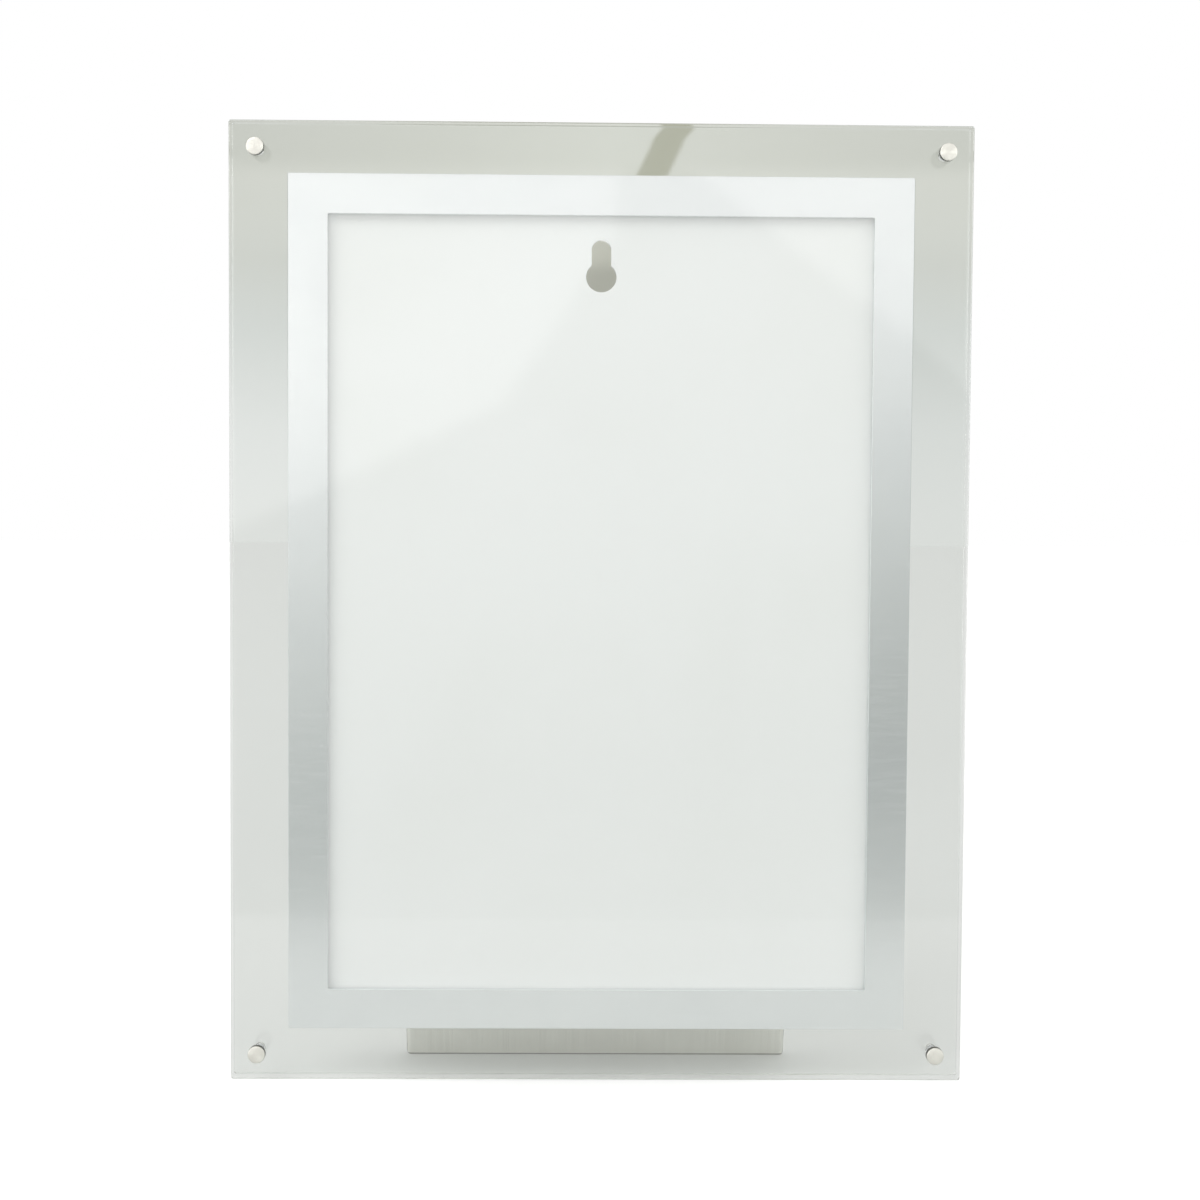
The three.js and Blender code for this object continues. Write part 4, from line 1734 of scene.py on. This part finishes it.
@dataclass
class Leg:
    """The folding leg: a plate with bent-back sides, rolled knuckles, and heels that stop it at the leaf."""

    hinge: Hinge
    opening: float = math.radians(20.0)
    return_depth: float = 5.0 * MM
    inner_bend: float = 0.8 * MM
    foot_radius: float = 1.0 * MM
    heel_length: float = 7.0 * MM
    bend_steps: int = 12
    heel_edge: float = 0.2 * MM

    def length(self) -> float:
        """Works out how far the foot lies below the axis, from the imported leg's lowest point.

        Returns:
            The distance along the plate.
        """
        angle = self.opening - Seating().lean
        axis = (SEATING @ self.hinge.axis()).translation
        low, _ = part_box("leg")
        front = self.hinge.knuckle_radius * math.sin(angle)
        return (axis.z - low.z - front) / math.cos(angle)

    def section(self) -> Points:
        """Draws the plate's section across: flat, with a side bent backwards at each end.

        Returns:
            Its (x, depth) points.
        """
        hinge = self.hinge
        half, front = hinge.width / 2, -hinge.knuckle_radius
        outer = self.inner_bend + hinge.plate
        back, bend, centre = front + self.return_depth, front + outer, half - outer
        inside = half - hinge.plate
        steps = self.bend_steps
        points = [Vector((-half, back))]
        points += arc((-centre, bend), outer, math.pi, 3 * QUARTER, steps)
        points += arc((centre, bend), outer, -QUARTER, 0.0, steps)
        points += [Vector((half, back)), Vector((inside, back))]
        points += arc((centre, bend), self.inner_bend, 0.0, -QUARTER, steps)
        points += arc((-centre, bend), self.inner_bend, 3 * QUARTER, math.pi, steps)
        return points + [Vector((-inside, back))]

    def foot(self, x: float, length: float) -> float:
        """Draws the foot's edge, which is rounded off at both corners.

        Args:
            x: A place along it.
            length: How far the foot lies below the axis.

        Returns:
            The edge's height there.
        """
        past = abs(x) - (self.hinge.width / 2 - self.foot_radius)
        past = min(max(past, 0.0), self.foot_radius)
        rise = self.foot_radius - math.sqrt(self.foot_radius**2 - past**2)
        return rise - length

    def plate(self, finishes: Finishes) -> bpy.types.Mesh:
        """Makes the bent plate, from its foot to where the hinge's notches end.

        Args:
            finishes: The materials.

        Returns:
            Its mesh, round the hinge's axis.
        """
        section, length = self.section(), self.length()
        solid = Solid()
        notch = -self.hinge.clearance
        top = solid.ring([Vector((point.x, point.y, notch)) for point in section])
        bottom = solid.ring([Vector((point.x, point.y, self.foot(point.x, length))) for point in section])
        solid.wall(bottom, top)
        solid.cap([top], UPWARD)
        solid.cap([bottom], DOWNWARD)
        return solid.mesh("leg_plate", finishes.steel)

    def heels(self, finishes: Finishes) -> bpy.types.Mesh:
        """Makes the tabs on the knuckles that meet the leaf when the leg is open.

        Args:
            finishes: The materials.

        Returns:
            Their mesh, turned as they lie on the folded leg.
        """
        hinge = self.hinge
        front = hinge.leaf_back + hinge.stack.seat_gap - hinge.leaf_front - hinge.knuckle_radius
        root = (hinge.bore_radius + hinge.knuckle_radius) / 2
        middle = (root + self.heel_length) / 2
        solid = Solid()
        outline = rectangle(hinge.knuckle_length, self.heel_length - root, self.heel_edge * 4, middle, 6)
        for place in hinge.knuckles(True):
            moved = [point + Vector((place.x, 0.0)) for point in outline]
            solid.plate([Edge(moved, eased(front, front + hinge.plate, self.heel_edge, 3))])
        mesh = solid.mesh("leg_heels", finishes.steel)
        mesh.transform(Matrix.Rotation(-self.opening, 4, "X"))
        return mesh

    def build(self, finishes: Finishes) -> None:
        """Makes the leg as one piece, open as it stands.

        Args:
            finishes: The materials.
        """
        hinge = self.hinge
        tree = hinge.rolled("leg_knuckle", -hinge.clearance)
        knuckles = tree.bake(hinge.knuckles(True), finishes.steel)
        mesh = joined("leg_panel", [self.plate(finishes), knuckles, self.heels(finishes)])
        matrix = SEATING @ hinge.axis() @ Matrix.Rotation(self.opening, 4, "X")
        settle(mesh, "leg_panel", ["leg"], Slot.STEEL, Body.LEG, matrix)


@dataclass(frozen=True)
class ViewOfPhoto:
    """The camera: where it stands to the sheets, how it is turned, and its lens."""

    distance: float = 850.0 * MM
    across: float = -13.95 * MM
    height: float = 230.74 * MM
    yaw: float = math.radians(-0.9538)
    pitch: float = math.radians(3.2411)
    roll: float = math.radians(0.3816)
    focal_pixels: float = 2268.2
    sensor: float = 36.0
    nearest: float = 0.01

    def build(self) -> None:
        """Makes the camera. The lens is a plain one with no shift."""
        data = bpy.data.cameras.new("camera")
        data.sensor_width = self.sensor
        data.lens = self.focal_pixels * self.sensor / IMAGE_SIZE
        data.clip_start = self.nearest
        camera = placed_object("camera", data)
        stand = Matrix.Translation((self.across, -self.distance, self.height))
        aim = Matrix.Rotation(QUARTER, 4, "X") @ Matrix.Rotation(self.yaw, 4, "Y")
        tilt = Matrix.Rotation(-self.pitch, 4, "X") @ Matrix.Rotation(self.roll, 4, "Z")
        camera.matrix_world = SEATING @ stand @ aim @ tilt
        bpy.context.scene.camera = camera


@dataclass(frozen=True)
class Lamp:
    """A soft square lamp that looks at the frame."""

    name: str
    place: tuple[float, float, float]
    size: float
    power: float
    colour: Colour = WHITE

    def build(self, target: Vector) -> None:
        """Makes the lamp.

        Args:
            target: The point that it shines at.
        """
        data = bpy.data.lights.new(self.name, "AREA")
        data.shape = "SQUARE"
        data.size = self.size
        data.energy = self.power
        data.color = self.colour
        lamp = placed_object(self.name, data)
        lamp.location = self.place
        lamp.rotation_mode = "QUATERNION"
        lamp.rotation_quaternion = (target - lamp.location).to_track_quat("-Z", "Y")


@dataclass(frozen=True)
class RoomInFront:
    """The room that metal and glass show in front of the frame: pale above and below, with two softboxes.

    Places are directions' x and z. A line is its rise over x, and its height at x = 0.
    """

    upper: tuple[float, float, float] = (0.24, 2.69, 0.649)
    upper_most: float = 1.06
    lower: tuple[float, float] = (0.338, 3.0)
    lower_most: float = 0.95
    dim: Colour = (0.98, 1.0, 0.985)
    pale: Colour = (1.0, 0.985, 0.99)
    pale_levels: tuple[float, float] = (0.6, 1.1)
    left_box: tuple[float, float] = (0.486, 0.130)
    left_box_side: tuple[float, float] = (1.5, 0.157)
    left_box_end: float = 0.022
    right_box: tuple[float, float] = (-0.77, 0.2603)
    box_top: float = 0.215
    softness: float = 0.006
    box_strength: float = 1.2
    box_hidden: float = 1.14

    def softboxes(self, across: Value, height: Value) -> Value:
        """Where the two softboxes lie.

        Args:
            across: The direction's x.
            height: The direction's z.

        Returns:
            1 on them and 0 beside them.
        """
        soft = self.softness
        rise, level = self.left_box
        left = (height - across * rise - level).within(-soft, soft)
        rise, level = self.left_box_side
        left = left.minimum((height - across * rise - level).within(-2 * soft, 2 * soft))
        left = left.minimum((self.left_box_end - across).within(-soft, soft))
        rise, level = self.right_box
        right = (height - across * rise - level).within(-soft, soft)
        return left.maximum(right).minimum((self.box_top - height).within(-soft, soft))

    def shader(self, graph: ShaderGraph, across: Value, height: Value, through: Value) -> bpy.types.Node:
        """Makes the room's light.

        Args:
            graph: The world's nodes.
            across: The direction's x.
            height: The direction's z.
            through: 1 for light that comes through glass, which hardly shows the softboxes.

        Returns:
            The shader.
        """
        slope, rise, level = self.upper
        above = ((height - across * slope) * rise + level).minimum(self.upper_most)
        level, fall = self.lower
        bright = above.maximum((level - height * fall).minimum(self.lower_most))
        colour = graph.blend(bright.within(*self.pale_levels), self.dim, self.pale)
        boxes = self.softboxes(across, height) * (self.box_strength - through * self.box_hidden)
        return graph.add("ShaderNodeBackground", {}, {"Color": colour, "Strength": bright + boxes})


@dataclass(frozen=True)
class RoomBehind:
    """The backdrop that shows through the sheets: in shade above, with a dark beam, and with painted shade
    behind the frame's middle, which shows dark at the keyhole.

    Places are directions' x and z, and pairs are where something starts and ends.
    """

    tones: tuple[tuple[float, Colour], ...] = (
        (0.0, (0.82, 0.825, 0.81)),
        (0.25, (0.775, 0.785, 0.775)),
        (0.33, (0.73, 0.745, 0.735)),
        (0.44, (0.595, 0.62, 0.60)),
        (0.51, (0.555, 0.57, 0.53)),
        (0.60, (0.68, 0.69, 0.63)),
        (1.0, (0.70, 0.71, 0.68)),
    )
    tone_scale: float = 2.5
    shade_behind_sides: tuple[float, float] = (0.03, 0.1)
    shade_behind_top: tuple[float, float] = (0.02, 0.035)
    shade_behind_colour: Colour = (0.475, 0.48, 0.41)
    low_top: tuple[float, float] = (-0.002, 0.007)
    low_shade: float = 0.22
    corner_centre: float = 0.02
    corner_rise: tuple[float, float] = (0.0, 0.05)
    beam_line: tuple[float, float] = (0.48, 0.018)
    beam_sides: tuple[float, float] = (0.0052, 0.0082)
    beam_foot: tuple[float, float] = (0.036, 0.042)
    beam_colour: Colour = (0.41, 0.414, 0.317)

    def shader(self, graph: ShaderGraph, across: Value, height: Value) -> bpy.types.Node:
        """Makes the backdrop's light.

        Args:
            graph: The world's nodes.
            across: The direction's x.
            height: The direction's z.

        Returns:
            The shader.
        """
        tones = graph.add("ShaderNodeValToRGB", {"stops": self.tones}, {0: height * self.tone_scale + 0.5})
        # Painted shade behind the frame's middle, where its shadow falls on the backdrop, darker still lower
        # down, and painted shade towards the upper corners.
        middle = (1 - across.size().within(*self.shade_behind_sides)) * (1 - height.within(*self.shade_behind_top))
        low = middle * (1 - height.within(*self.low_top)) * self.low_shade
        corners = (across - self.corner_centre).size() * height.within(*self.corner_rise)
        slope, shift = self.beam_line
        beam = (across - height * slope - shift).size()
        beam = (1 - beam.within(*self.beam_sides)) * height.within(*self.beam_foot)
        colour = graph.blend(middle, tones, self.shade_behind_colour)
        colour = graph.blend(beam, colour, self.beam_colour)
        strength = 1 - low.maximum(corners)
        return graph.add("ShaderNodeBackground", {}, {"Color": colour, "Strength": strength})


@dataclass(frozen=True)
class Studio:
    """A white floor and backdrop in soft light. Glass and metal see the backdrop with its soft shades."""

    floor_front: float = -0.58
    floor_back: float = 1.7
    floor_side: float = 1.6
    floor_colour: Colour = (0.65, 0.654, 0.644)
    floor_lift: float = 0.35
    floor_glow: float = 0.15
    floor_depth: float = 0.1 * MM
    floor_roughness: float = 0.6
    ambient: float = 0.80
    lamps: tuple[Lamp, ...] = (
        Lamp("key", (-1.3, -1.1, 1.7), 1.3, 12.0),
        Lamp("fill", (1.6, -1.0, 1.2), 1.4, 5.0),
        Lamp("rear", (0.5, 1.4, 1.6), 1.2, 3.5),
    )
    room_in_front: RoomInFront = RoomInFront()
    room_behind: RoomBehind = RoomBehind()

    def floor(self) -> None:
        """Makes the floor, which keeps the frame's soft shadow."""
        solid = Solid()
        left, right = -self.floor_side, self.floor_side
        corners = [
            (left, self.floor_front), (right, self.floor_front),
            (right, self.floor_back), (left, self.floor_back),
        ]
        solid.faces.append(solid.ring([Vector((x, y, -self.floor_depth)) for x, y in corners]))
        graph = material_graph("studio_floor")
        cloud = graph.noise(graph.place(), 3.0, 2.0)
        roughness = self.floor_roughness + cloud * 0.1
        matt = graph.principled(Base_Color=self.floor_colour, Roughness=roughness)
        path = graph.add("ShaderNodeLightPath")
        seen = Value(graph, path.outputs["Is Camera Ray"])
        shown = seen.maximum(path.outputs["Is Glossy Ray"]).maximum(path.outputs["Is Transmission Ray"])
        strength = seen * self.floor_lift + shown * self.floor_glow
        glow = graph.add("ShaderNodeEmission", {}, {"Color": WHITE, "Strength": strength})
        surface = graph.finish(graph.add("ShaderNodeAddShader", {}, {0: matt, 1: glow}))
        placed_object("floor", solid.mesh("floor", surface))

    def world(self) -> None:
        """Makes the room's light: white for the camera, even for matt pieces, a room for metal and glass."""
        graph = ShaderGraph(bpy.data.worlds.new("studio"), "ShaderNodeOutputWorld")
        bpy.context.scene.world = graph.owner
        direction = graph.add("ShaderNodeTexCoord").outputs["Generated"]
        across, depth, height = (graph.part(direction, axis) for axis in "XYZ")
        path = graph.add("ShaderNodeLightPath")
        through = Value(graph, path.outputs["Is Transmission Ray"])
        in_front = self.room_in_front.shader(graph, across, height, through)
        behind = self.room_behind.shader(graph, across, height)
        room = graph.add("ShaderNodeMixShader", {}, {0: depth.above(0.0), 1: in_front, 2: behind})
        even = graph.add("ShaderNodeBackground", {}, {"Color": WHITE, "Strength": self.ambient})
        on_matt = Value(graph, path.outputs["Diffuse Depth"]).above(0.5)
        shiny = Value(graph, path.outputs["Is Glossy Ray"]).maximum(through) * (1 - on_matt)
        lit = graph.add("ShaderNodeMixShader", {}, {0: shiny, 1: even, 2: room})
        white = graph.add("ShaderNodeBackground", {}, {"Color": WHITE, "Strength": 1.0})
        seen = path.outputs["Is Camera Ray"]
        graph.finish(graph.add("ShaderNodeMixShader", {}, {0: seen, 1: lit, 2: white}))

    def build(self) -> None:
        """Makes the floor, the room's light and the lamps, and keeps colours plain."""
        self.floor()
        self.world()
        low, high = CAD_BOUNDS
        for lamp in self.lamps:
            lamp.build((low + high) / 2)
        bpy.context.scene.view_settings.view_transform = "Standard"


def main() -> None:
    """Makes the camera, the studio and every piece of the frame, and logs each part and its face count as it
    is made.
    """
    logging.basicConfig(level=logging.INFO, format="%(message)s", stream=sys.stdout)
    ViewOfPhoto().build()
    Studio().build()
    finishes = Finishes.mixed()
    stack = Stack()
    keyhole = Keyhole()
    hinge = Hinge(stack)
    parts = [
        Sheets(stack, keyhole, hinge.screw_places()),
        Window(stack, keyhole),
        Studs(stack),
        hinge,
        Leg(hinge),
    ]
    for part in parts:
        LOG.info("%s", type(part).__name__)
        part.build(finishes)


if __name__ == "__main__":
    main()
